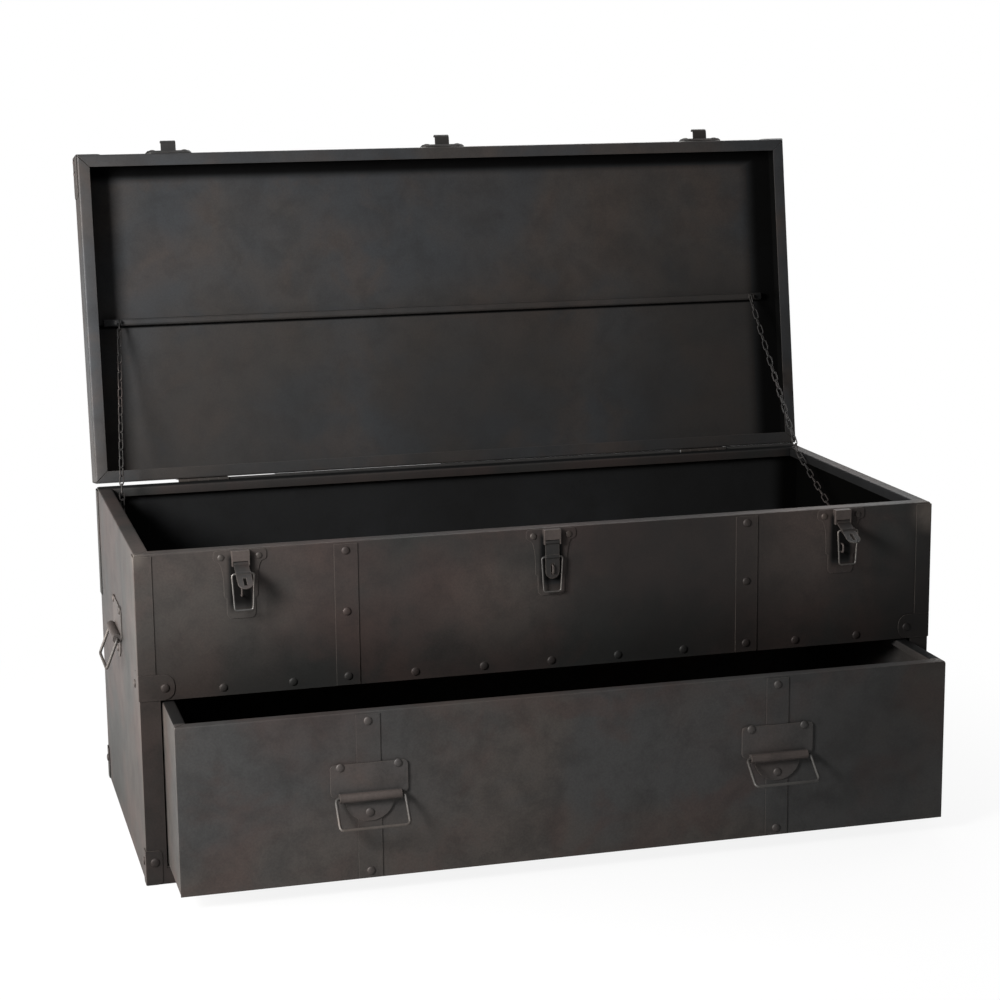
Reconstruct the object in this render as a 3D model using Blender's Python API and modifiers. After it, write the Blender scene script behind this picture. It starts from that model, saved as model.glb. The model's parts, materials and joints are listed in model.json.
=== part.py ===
"""Metal storage trunk: folded sheet case with a drawer, hinged lid, latches, handles and stay chains.

Metres, +Z up. The origin is on the floor under the middle of the case, and the front faces -Y.
Every piece is drawn with the lid shut, the drawer in and the hardware flat.
Empties on the joint axes then carry the moving pieces to the pose in which the trunk stands open.
"""

import math

import bmesh
import bpy
from mathutils import Matrix, Vector

for old_object in list(bpy.data.objects):
    bpy.data.objects.remove(old_object, do_unlink=True)

# Sheet metal and fits
SHEET = 0.0012
TRIM = 0.0012
BEND = 0.003
SEAT = 0.0003
MITRE_GAP = 0.0006
BEND_STEPS = 2

# Case
CASE_WIDTH = 1.098
CASE_DEPTH = 0.478
CASE_HEIGHT = 0.440
RIM_LEDGE = 0.021
RIM_RETURN = 0.013
FLOOR_FLANGE = 0.016
BOTTOM_FLANGE = 0.015
STILE = 0.0265
BOTTOM_RAIL = 0.0215

# Drawer
DRAWER_HEIGHT = 0.221
DRAWER_DEPTH = 0.440
DRAWER_GAP = 0.0023
DRAWER_LEDGE = 0.017
DRAWER_RETURN = 0.010
FLOOR_LIFT = 0.0025
DRAWER_OUT = 0.117
RUNNER_SHEET = 0.002
RUNNER_HEIGHT = 0.030
RUNNER_UNDER = 0.020

# Corner trim and straps
ANGLE_LEG = 0.023
BRACKET_LEG = 0.047
BRACKET_HEIGHT = 0.034
BRACKET_ROUND = 0.014
FOOT_LEG = 0.022
FOOT_HEIGHT = 0.047
FOOT_ROUND = 0.006
STRAP_WIDTH = 0.031
STRAP_INSET = 0.272
TRIM_CLEAR = 0.0008
TRIM_BEND = 0.0016

# Lid and its hinges
LID_HEIGHT = 0.062
LID_LEDGE = 0.0175
LID_GAP = 0.0008
LID_OPEN = 98.7
HINGE_INSET = 0.157
HINGE_LENGTH = 0.074
HINGE_LEAF = 0.034
HINGE_SHEET = 0.0012
HINGE_OFFSET = 0.0028
BARREL_RADIUS = 0.0025
HINGE_PIN = 0.0012
PIN_CLEAR = 0.0003
KNUCKLES = 5
KNUCKLE_GAP = 0.0004
CAP_FRONT = 0.036
CAP_SIDE = 0.062
CAP_HEIGHT = 0.050
CAP_ROUND = 0.008
BAR_FACE = 0.0105
BAR_DEPTH = 0.014
BAR_END = 0.030
BAR_BACK = 0.235

# Latches
LATCH_INSET = 0.1345
LATCH_DROP = 0.0185
LEVER_OPEN = {"left": 62.0, "centre": 0.0, "right": 66.0}
BASE_TOP = 0.017
EAR_HALF = 0.0345
EAR_HEIGHT = 0.0148
EAR_ROUND = 0.005
NECK_HALF = 0.0293
FLANK_END = 0.0315
BODY_HALF = 0.0218
BODY_END = 0.046
TONGUE_HALF = 0.0185
BASE_LENGTH = 0.073
BASE_ROUND = 0.007
PIVOT_OUT = 0.0055
PIVOT_PIN = 0.0014
LEVER_HALF = 0.0095
LEVER_SHEET = 0.0016
LEVER_LENGTH = 0.0495
LEVER_BARREL = 0.003
HOOD_OUT = 0.0085
CHEEK = 0.0015
CHEEK_CLEAR = 0.0004
BORE_CLEAR = 0.0004
SLOT_HALF = 0.0022
STAPLE_WIRE = 0.0013
STAPLE_TOP = 0.031
STAPLE_HEIGHT = 0.011
STAPLE_OUT = 0.0095
STAPLE_CLEAR = 0.0007
BAIL_WIRE = 0.0012
BAIL_DROP = 0.020
BAIL_BOSS = 0.0028
BAIL_TOP_HALF = 0.0145
BAIL_END_HALF = 0.0118
BAIL_LENGTH = 0.0475
BAIL_BEND = 0.004
BAIL_TAIL = 0.008

# Keepers on the lid
KEEPER_HALF = 0.034
KEEPER_LIFT = 0.004
KEEPER_HEIGHT = 0.032
KEEPER_ROUND = 0.009
KEEPER_THICK = 0.0042
KEEPER_SLOPE = 0.0028
HOOK_HALF = 0.011
HOOK_SHEET = 0.0018
HOOK_LIFT = 0.008
HOOK_OUT = 0.019
HOOK_RISE = 0.011

# Drop handles
HANDLE_HALF = 0.050
HANDLE_TOP = 0.0425
HANDLE_ROUND = 0.005
HANDLE_SHEET = 0.0012
TAB_HALF = 0.0315
TAB_DROP = 0.0345
TAB_START = 0.006
ROLL_RADIUS = 0.0062
ROLL_HALF = 0.040
GRIP_WIRE = 0.002
GRIP_CLEAR = 0.0004
GRIP_HALF = 0.045
GRIP_DROP = 0.043
GRIP_BEND = 0.006
GRIP_TAIL = 0.016
DRAWER_HANDLE_RISE = 0.112
END_HANDLE_HEIGHT = 0.2815
GRIP_OPEN = {"drawer_left": 40.5, "drawer_right": 50.0, "end_left": 22.0, "end_right": 22.0}

# Stay chains
CHAIN_LID_INSET = 0.051
CHAIN_PIN_DROP = 0.006
CHAIN_CASE_INSET = 0.015
CHAIN_CASE_Y = 0.0155
CHAIN_CASE_DROP = 0.095
CHAIN_SAG = 0.044
LINK_WIRE = 0.001
LINK_RADIUS = 0.00335
LINK_LAP = 0.0011
LINK_CLEAR = 0.0003
LINK_COUNT = 33
LOWER_LINKS = 13
LINK_TURN = 45.0
CHAIN_PIN = 0.0015
PIN_HEAD = 0.0032
PIN_HEAD_THICK = 0.001
PIN_REACH = 0.0025
LUG_SHEET = 0.0016
LUG_HALF = 0.0048

# Sizes that follow from the ones above
HALF_W = CASE_WIDTH / 2
HALF_D = CASE_DEPTH / 2
STRAP_X = HALF_W - STRAP_INSET
HINGE_X = HALF_W - HINGE_INSET
LATCH_X = HALF_W - LATCH_INSET
CHAIN_LID_X = HALF_W - CHAIN_LID_INSET
OPENING_HALF = HALF_W - STILE
OPENING_TOP = BOTTOM_RAIL + DRAWER_HEIGHT + 2 * DRAWER_GAP
DRAWER_HALF = OPENING_HALF - DRAWER_GAP
DRAWER_BOTTOM = BOTTOM_RAIL + DRAWER_GAP
DRAWER_TOP = DRAWER_BOTTOM + DRAWER_HEIGHT
FLOOR_Z = OPENING_TOP + FLOOR_LIFT
BRACKET_Z = OPENING_TOP + TRIM_CLEAR
LID_LOW = CASE_HEIGHT + LID_GAP
LID_HIGH = LID_LOW + LID_HEIGHT
FACE_OUT = SEAT + TRIM
TRIM_TOP = CASE_HEIGHT - BEND
HINGE_AXIS = Vector((0, HALF_D + HINGE_OFFSET, CASE_HEIGHT + LID_GAP / 2))
PIVOT_Z = CASE_HEIGHT - LATCH_DROP
BAR_Y = HALF_D - BAR_BACK
BAR_Z = LID_HIGH - SHEET - SEAT - BAR_DEPTH
SIDES = {"left": -1, "right": 1}
LATCHES = {"left": -LATCH_X, "centre": 0.0, "right": LATCH_X}

SHELL_PAINT = ((0.046, 0.041, 0.038), 0.52, 0.75)
TRIM_PAINT = ((0.052, 0.046, 0.043), 0.48, 0.80)
HARDWARE_PAINT = ((0.075, 0.070, 0.067), 0.42, 0.90)
WIRE_PAINT = ((0.110, 0.105, 0.100), 0.38, 0.95)

parts = bpy.data.collections.new("metal_trunk")
cutters = bpy.data.collections.new("cutters")
bpy.context.scene.collection.children.link(parts)
bpy.context.scene.collection.children.link(cutters)
rest_places = {}


# Objects, materials and joints


def paint(name, finish):
    """A metal material of its own for one piece."""
    colour, roughness, metallic = finish
    material = bpy.data.materials.new(name + "_steel")
    material.use_nodes = True
    shader = material.node_tree.nodes["Principled BSDF"]
    shader.inputs["Base Color"].default_value = (*colour, 1)
    shader.inputs["Roughness"].default_value = roughness
    shader.inputs["Metallic"].default_value = metallic
    return material


def piece(name, mesh, finish):
    """One named piece of the trunk."""
    mesh.shade_smooth()
    mesh.set_sharp_from_angle(angle=math.radians(35))
    mesh.materials.append(paint(name, finish))
    obj = bpy.data.objects.new(name, mesh)
    parts.objects.link(obj)
    return obj


def combine(target, mesh, operation):
    """Join a shape to a piece, or cut it away."""
    helper = bpy.data.objects.new(target.name + "_" + mesh.name, mesh)
    helper.hide_render = True
    helper.display_type = "WIRE"
    cutters.objects.link(helper)
    boolean = target.modifiers.new(mesh.name, "BOOLEAN")
    boolean.operation = operation
    boolean.solver = "EXACT"
    boolean.object = helper


def add(target, mesh):
    combine(target, mesh, "UNION")


def cut(target, mesh):
    combine(target, mesh, "DIFFERENCE")


def hang(obj, joint):
    """Let a piece, with the shapes that cut or join it, follow a joint's empty."""
    followers = [obj]
    for modifier in obj.modifiers:
        if modifier.type == "BOOLEAN":
            followers.append(modifier.object)
    for follower in followers:
        follower.parent = joint
        follower.matrix_parent_inverse = Matrix.Translation(-rest_places[joint.name])


def joint_empty(name, place, axis="X", turn=0.0, slide=(0, 0, 0), carrier=None):
    """An empty on a joint's axis, turned and slid to the pose the trunk stands in."""
    empty = bpy.data.objects.new(name, None)
    parts.objects.link(empty)
    rest_places[name] = Vector(place)
    empty.location = Vector(place) + Vector(slide)
    empty.rotation_euler["XYZ".index(axis)] = math.radians(turn)
    if carrier:
        hang(empty, carrier)
    return empty


# Shapes


def mesh_from(bm, name):
    mesh = bpy.data.meshes.new(name)
    bm.to_mesh(mesh)
    bm.free()
    return mesh


def box_mesh(name, low, high):
    """A block between two corners."""
    size = Vector(high) - Vector(low)
    middle = (Vector(high) + Vector(low)) / 2
    bm = bmesh.new()
    bmesh.ops.create_cube(bm, size=1, matrix=Matrix.Translation(middle) @ Matrix.Diagonal((*size, 1)))
    return mesh_from(bm, name)


def rod_mesh(name, start, end, radius, sides=12):
    """A round bar from one point to another."""
    run = Vector(end) - Vector(start)
    place = Matrix.Translation((Vector(start) + Vector(end)) / 2)
    turn = run.to_track_quat("Z", "Y").to_matrix().to_4x4()
    bm = bmesh.new()
    bmesh.ops.create_cone(bm, cap_ends=True, segments=sides, radius1=radius, radius2=radius,
                          depth=run.length, matrix=place @ turn)
    return mesh_from(bm, name)


def curve_mesh(name, paths, depth=0.0, resolution=1, extrude=0.0, cyclic=False):
    """A wire along each path, or a flat plate inside an outline, as a welded mesh."""
    curve = bpy.data.curves.new(name, "CURVE")
    curve.dimensions = "2D" if extrude else "3D"
    curve.fill_mode = "BOTH" if extrude else "FULL"
    curve.extrude = extrude
    curve.bevel_depth = depth
    curve.bevel_resolution = resolution
    curve.use_fill_caps = not cyclic
    for path in paths:
        spline = curve.splines.new("POLY")
        spline.points.add(len(path) - 1)
        for point, place in zip(spline.points, path):
            point.co = (*Vector(place).to_3d(), 1)
        spline.use_cyclic_u = cyclic
    drawn = bpy.data.objects.new(name, curve)
    cutters.objects.link(drawn)
    bpy.context.view_layer.update()
    evaluated = drawn.evaluated_get(bpy.context.evaluated_depsgraph_get())
    mesh = bpy.data.meshes.new_from_object(evaluated)
    bpy.data.objects.remove(drawn, do_unlink=True)
    bm = bmesh.new()
    bm.from_mesh(mesh)
    bmesh.ops.remove_doubles(bm, verts=bm.verts, dist=0.00001)
    bmesh.ops.recalc_face_normals(bm, faces=bm.faces)
    bm.to_mesh(mesh)
    bm.free()
    mesh.name = name
    return mesh


def plate_mesh(name, outline, thickness, back):
    """An upright plate with the outline in X and Z, whose back face is at Y = back and front nearer -Y."""
    mesh = curve_mesh(name, [outline], extrude=thickness / 2, cyclic=True)
    stand = Matrix.Translation((0, back - thickness / 2, 0)) @ Matrix.Rotation(math.radians(90), 4, "X")
    mesh.transform(stand)
    return mesh


def slope_front_edge(mesh, slope):
    """Slope the front edge of an upright plate, as a press leaves it."""
    bm = bmesh.new()
    bm.from_mesh(mesh)
    bmesh.ops.dissolve_faces(bm, faces=[face for face in bm.faces if face.normal.y < -0.9])
    face = min(bm.faces, key=lambda candidate: candidate.normal.y)
    bmesh.ops.bevel(bm, geom=list(face.edges), offset=slope, segments=1, profile=0.5, affect="EDGES")
    bm.to_mesh(mesh)
    bm.free()


def folded_sheet(name, profile, ends, place, outside, thickness=SHEET, bend=BEND, corner=0.0,
                 finish=SHELL_PAINT):
    """Sheet folded along a profile and run between two ends, with bends and even thickness.

    Each profile point has its own ends, which makes the mitres.
    """
    bm = bmesh.new()
    first = []
    for point, (start, _) in zip(profile, ends):
        first.append(bm.verts.new(place(*point, start)))
    edges = [bm.edges.new(pair) for pair in zip(first, first[1:])]
    swept = bmesh.ops.extrude_edge_only(bm, edges=edges)["geom"]
    for vert in [item for item in swept if isinstance(item, bmesh.types.BMVert)]:
        index = min(range(len(first)), key=lambda i: (first[i].co - vert.co).length)
        vert.co = place(*profile[index], ends[index][1])
    bm.normal_update()
    if edges[0].link_faces[0].normal.dot(Vector(outside)) < 0:
        bmesh.ops.reverse_faces(bm, faces=bm.faces)
    if corner:
        tips = [vert for vert in bm.verts if len(vert.link_faces) == 1]
        bmesh.ops.bevel(bm, geom=tips, offset=corner, segments=3, profile=0.5, affect="VERTICES")
    obj = piece(name, mesh_from(bm, name), finish)
    bend_and_thicken(obj, bend, thickness)
    return obj


def bend_and_thicken(obj, bend, thickness):
    """Round the folds of a bare surface, then give it the sheet's thickness inwards."""
    folds = obj.modifiers.new("bends", "BEVEL")
    folds.width = bend
    folds.segments = BEND_STEPS
    folds.limit_method = "ANGLE"
    folds.angle_limit = math.radians(40)
    wall = obj.modifiers.new("thickness", "SOLIDIFY")
    wall.thickness = thickness
    wall.offset = -1
    wall.use_even_offset = True


def pan(name, low, high):
    """A shallow tray folded from one sheet, open at the top."""
    mesh = box_mesh(name, low, high)
    bm = bmesh.new()
    bm.from_mesh(mesh)
    roof = [face for face in bm.faces if face.normal.z > 0.5]
    bmesh.ops.delete(bm, geom=roof, context="FACES_ONLY")
    bm.to_mesh(mesh)
    bm.free()
    obj = piece(name, mesh, SHELL_PAINT)
    bend_and_thicken(obj, BEND, SHEET)
    return obj


def arc(centre, radii, start, end, steps):
    """Points on an ellipse from one angle to another, in degrees."""
    points = []
    for step in range(steps + 1):
        angle = math.radians(start + (end - start) * step / steps)
        points.append((centre[0] + radii[0] * math.cos(angle), centre[1] + radii[1] * math.sin(angle)))
    return points


def mirrored(half):
    """A closed outline from its right half, listed from the top down."""
    return half + [(-x, z) for x, z in reversed(half) if round(x, 6) > 0]


def rounded_path(corners, radius, steps=3):
    """A path through corner points, with each inner corner bent to a curve."""
    path = [Vector(corners[0])]
    for before, corner, after in zip(corners, corners[1:], corners[2:]):
        turn = Vector(corner)
        entry = turn + (Vector(before) - turn).normalized() * radius
        leave = turn + (Vector(after) - turn).normalized() * radius
        for step in range(steps + 1):
            share = step / steps
            path.append(entry.lerp(turn, share).lerp(turn.lerp(leave, share), share))
    path.append(Vector(corners[-1]))
    return path


def even(half, count):
    """The same two ends for every point of a profile."""
    return [(-half, half)] * count


# Case


def rim_wall(name, outer, run_half, mitre_gap, place, outside):
    """A case wall with its rim ledge folded in and its edge returned down."""
    profile = [(0, 0), (0, CASE_HEIGHT), (RIM_LEDGE, CASE_HEIGHT), (RIM_LEDGE, CASE_HEIGHT - RIM_RETURN)]
    short = outer - RIM_LEDGE - mitre_gap
    ends = even(run_half, 2) + even(short, 2)
    return folded_sheet(name, profile, ends, place, outside)


def make_case():
    def front(inward, z, run):
        return Vector((run, -HALF_D + inward, z))

    def back(inward, z, run):
        return Vector((run, HALF_D - inward, z))

    front_wall = rim_wall("case_front", HALF_W, HALF_W, 0, front, (0, -1, 0))
    opening = box_mesh("drawer_opening", (-OPENING_HALF, -HALF_D - SHEET, BOTTOM_RAIL),
                       (OPENING_HALF, -HALF_D + 2 * SHEET, OPENING_TOP))
    cut(front_wall, opening)
    rim_wall("case_back", HALF_W, HALF_W, 0, back, (0, 1, 0))
    for side, sign in SIDES.items():
        def end(inward, z, run, sign=sign):
            return Vector((sign * (HALF_W - inward), run, z))

        butt = HALF_D - SHEET - MITRE_GAP
        wall = rim_wall("case_" + side + "_side", HALF_D, butt, MITRE_GAP, end, (sign, 0, 0))
        short = LINK_RADIUS * math.sin(math.radians(LINK_TURN)) + LINK_WIRE + LINK_CLEAR
        for shape in chain_pin_meshes(chain_case_point(sign), sign, HALF_W - SHEET / 2, -short):
            add(wall, shape)
    inner = SHEET + SEAT
    x, y = HALF_W - inner, HALF_D - inner
    pan("case_bottom", (-x, -y, 0), (x, y, BOTTOM_FLANGE))
    pan("compartment_floor", (-x, -y, FLOOR_Z), (x, y, FLOOR_Z + FLOOR_FLANGE))


def make_runners():
    top = DRAWER_BOTTOM - SEAT
    wall_x = HALF_W - SHEET - SEAT - RUNNER_SHEET
    profile = [(wall_x, top + RUNNER_HEIGHT), (wall_x, top), (DRAWER_HALF - RUNNER_UNDER, top)]
    half = HALF_D - SHEET - 2 * SEAT
    for side, sign in SIDES.items():
        def rail(x, z, run, sign=sign):
            return Vector((sign * x, run, z))

        folded_sheet("drawer_runner_" + side, profile, even(half, 3), rail, (-sign, 0, 0),
                     thickness=RUNNER_SHEET)


def corner_piece(name, legs, low, high, corner, ends_sign):
    """Sheet wrapped round an upright edge of the case or lid."""
    sign_x, sign_y = ends_sign
    out_x = HALF_W + FACE_OUT
    out_y = HALF_D + FACE_OUT
    profile = [(out_x - legs[0], out_y), (out_x, out_y), (out_x, out_y - legs[1])]

    def wrap(x, y, z):
        return Vector((sign_x * x, sign_y * y, z))

    return folded_sheet(name, profile, [(low, high)] * 3, wrap, (0, sign_y, 0),
                        thickness=TRIM, bend=TRIM_BEND, corner=corner, finish=TRIM_PAINT)


def make_corner_trim():
    bracket_top = BRACKET_Z + BRACKET_HEIGHT
    for face, sign_y in {"front": -1, "back": 1}.items():
        for side, sign_x in SIDES.items():
            place = face + "_" + side
            signs = (sign_x, sign_y)
            legs = (ANGLE_LEG, ANGLE_LEG)
            corner_piece("corner_angle_" + place, legs, bracket_top + SEAT, TRIM_TOP, 0, signs)
            if face == "front":
                legs = (BRACKET_LEG, BRACKET_LEG)
                corner_piece("corner_bracket_" + place, legs, BRACKET_Z, bracket_top, BRACKET_ROUND, signs)
            legs = (FOOT_LEG, FOOT_LEG)
            corner_piece("foot_corner_" + place, legs, SEAT, FOOT_HEIGHT, FOOT_ROUND, signs)


def strap(name, x, low, high):
    return piece(name, box_mesh(name, (x - STRAP_WIDTH / 2, -HALF_D - FACE_OUT, low),
                                (x + STRAP_WIDTH / 2, -HALF_D - SEAT, high)), TRIM_PAINT)


def make_straps(drawer_joint):
    for side, sign in SIDES.items():
        strap("front_strap_" + side, sign * STRAP_X, BRACKET_Z, TRIM_TOP)
        low = DRAWER_BOTTOM + TRIM_CLEAR
        hang(strap("drawer_strap_" + side, sign * STRAP_X, low, DRAWER_TOP - BEND), drawer_joint)


# Drawer


def make_drawer(drawer_joint):
    rear = -HALF_D + DRAWER_DEPTH
    low, high = DRAWER_BOTTOM, DRAWER_TOP
    ledge_half = DRAWER_HALF - DRAWER_LEDGE
    lip = high - DRAWER_RETURN

    def face(inward, z, run):
        return Vector((run, -HALF_D + inward, z))

    def tail(inward, z, run):
        return Vector((run, rear - inward, z))

    profile = [(0, low), (0, high), (DRAWER_LEDGE, high), (DRAWER_LEDGE, lip)]
    ends = even(DRAWER_HALF, 2) + even(ledge_half, 2)
    front = folded_sheet("drawer_front", profile, ends, face, (0, -1, 0))
    back = folded_sheet("drawer_back", profile, ends, tail, (0, 1, 0))

    def along(x, z, run):
        return Vector((x, run, z))

    inner = SHEET + MITRE_GAP
    whole = (-HALF_D + inner, rear - inner)
    mitre = (-HALF_D + DRAWER_LEDGE + MITRE_GAP, rear - DRAWER_LEDGE - MITRE_GAP)
    wide, narrow = DRAWER_HALF, ledge_half
    tray_profile = [(-narrow, lip), (-narrow, high), (-wide, high), (-wide, low)]
    tray_profile += [(-x, z) for x, z in reversed(tray_profile)]
    tray_ends = [mitre, mitre, whole, whole, whole, whole, mitre, mitre]
    tray = folded_sheet("drawer_tray", tray_profile, tray_ends, along, (1, 0, 0))
    for made in (front, back, tray):
        hang(made, drawer_joint)


# Lid


def make_lid(lid_joint):
    low, high = LID_LOW, LID_HIGH

    def across(y, z, run):
        return Vector((run, y, z))

    front = [(-HALF_D + LID_LEDGE, low), (-HALF_D, low), (-HALF_D, high)]
    profile = front + [(-y, z) for y, z in reversed(front)]
    ledge = even(HALF_W - LID_LEDGE, 1)
    ends = ledge + even(HALF_W, 4) + ledge
    wrap = folded_sheet("lid_cover", profile, ends, across, (0, 0, -1))
    hang(wrap, lid_joint)
    for side, sign in SIDES.items():
        def end(inward, z, run, sign=sign):
            return Vector((sign * (HALF_W - inward), run, z))

        end_profile = [(LID_LEDGE, low), (0, low), (0, high - SHEET - SEAT)]
        wall_half = HALF_D - SHEET - MITRE_GAP
        end_ends = even(HALF_D - LID_LEDGE - MITRE_GAP, 1) + even(wall_half, 2)
        wall = folded_sheet("lid_" + side + "_end", end_profile, end_ends, end, (0, 0, -1))
        for sign_y in (-1, 1):
            edge = sign_y * wall_half
            inside = edge - sign_y * BEND
            cut(wall, corner_cutter(sign, edge, inside, high - SHEET - SEAT))
        hang(wall, lid_joint)
        middle = (low + high) / 2
        cap = corner_piece("lid_corner_" + side, (CAP_FRONT, CAP_SIDE), middle - CAP_HEIGHT / 2,
                           middle + CAP_HEIGHT / 2, CAP_ROUND, (sign, -1))
        hang(cap, lid_joint)


def corner_cutter(sign, edge, inside, top):
    """A slanted block that clears a lid end's upper corner from the cover's bend."""
    bm = bmesh.new()
    size = BEND * math.sqrt(2)
    middle = Vector((sign * HALF_W, edge, top))
    turn = Matrix.Rotation(math.radians(45), 4, "X")
    bmesh.ops.create_cube(bm, size=1, matrix=Matrix.Translation(middle) @ turn @
                          Matrix.Diagonal((4 * SHEET, size, size, 1)))
    return mesh_from(bm, "corner_front" if edge < inside else "corner_back")


def make_bar(lid_joint):
    half = HALF_W - BAR_END
    top = BAR_Z + BAR_DEPTH
    front, back = BAR_Y - BAR_FACE / 2, BAR_Y + BAR_FACE / 2

    def across(y, z, run):
        return Vector((run, y, z))

    profile = [(front, top), (front, BAR_Z), (back, BAR_Z), (back, top)]
    bar = folded_sheet("lid_bar", profile, even(half, 4), across, (0, -1, 0), finish=TRIM_PAINT)
    for sign in SIDES.values():
        pin = chain_lid_point(sign)
        lug_x = pin.x + sign * LUG_HALF
        sheet = sign * LUG_SHEET / 2
        low = (min(lug_x - sheet, lug_x + sheet), pin.y - LUG_HALF / 2, pin.z - LUG_HALF / 2)
        high = (max(lug_x - sheet, lug_x + sheet), pin.y + LUG_HALF / 2, BAR_Z + SHEET / 2)
        add(bar, box_mesh("lug_%d" % sign, low, high))
        for shape in chain_pin_meshes(pin, sign, abs(lug_x), PIN_REACH):
            add(bar, shape)
    hang(bar, lid_joint)


def make_hinges(lid_joint):
    axis_y, axis_z = HINGE_AXIS.y, HINGE_AXIS.z
    back = HALF_D + SEAT
    step = HINGE_LENGTH / KNUCKLES
    for side, sign in SIDES.items():
        start = sign * HINGE_X - HINGE_LENGTH / 2
        end = start + HINGE_LENGTH
        case_leaf = piece("hinge_case_leaf_" + side, box_mesh(
            "case_leaf", (start, back, axis_z - BARREL_RADIUS / 2 - HINGE_LEAF),
            (end, back + HINGE_SHEET, axis_z - KNUCKLE_GAP)), HARDWARE_PAINT)
        lid_leaf = piece("hinge_lid_leaf_" + side, box_mesh(
            "lid_leaf", (start, back, axis_z + KNUCKLE_GAP),
            (end, back + HINGE_SHEET, axis_z + BARREL_RADIUS / 2 + HINGE_LEAF)), HARDWARE_PAINT)
        for index in range(KNUCKLES):
            left = start + index * step + KNUCKLE_GAP / 2
            right = start + (index + 1) * step - KNUCKLE_GAP / 2
            owner, other = (case_leaf, lid_leaf) if index % 2 == 0 else (lid_leaf, case_leaf)
            room = BARREL_RADIUS + KNUCKLE_GAP
            cut(other, rod_mesh("clear_%d" % index, (left - KNUCKLE_GAP, axis_y, axis_z),
                                (right + KNUCKLE_GAP, axis_y, axis_z), room))
            add(owner, rod_mesh("knuckle_%d" % index, (left, axis_y, axis_z), (right, axis_y, axis_z),
                                BARREL_RADIUS))
        cut(lid_leaf, rod_mesh("bore", (start - step, axis_y, axis_z), (end + step, axis_y, axis_z),
                               HINGE_PIN + PIN_CLEAR))
        add(case_leaf, rod_mesh("pin", (start + step / 2, axis_y, axis_z), (end - step / 2, axis_y, axis_z),
                                HINGE_PIN))
        hang(lid_leaf, lid_joint)


# Latches and keepers


def latch_outline(x):
    """Shield-shaped base: ears for the rivets, hollow flanks, a body and a round-ended tongue."""
    top = PIVOT_Z + BASE_TOP
    ear_low = top - EAR_HEIGHT
    flank_low = PIVOT_Z - FLANK_END
    rounding = (EAR_ROUND, EAR_ROUND)
    half = [(0, top)]
    half += arc((EAR_HALF - EAR_ROUND, top - EAR_ROUND), rounding, 90, 0, 3)
    half += arc((EAR_HALF - EAR_ROUND, ear_low + EAR_ROUND), rounding, 0, -90, 3)
    half += arc((NECK_HALF, flank_low), (NECK_HALF - BODY_HALF, ear_low - flank_low), 90, 180, 5)[1:]
    step = BODY_HALF - TONGUE_HALF
    half += arc((BODY_HALF - step, PIVOT_Z - BODY_END + step), (step, step), 0, -90, 3)
    corner = (TONGUE_HALF - BASE_ROUND, PIVOT_Z - BASE_LENGTH + BASE_ROUND)
    half += arc(corner, (BASE_ROUND, BASE_ROUND), 0, -90, 4)
    return [(x + dx, z) for dx, z in mirrored(half)]


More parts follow.
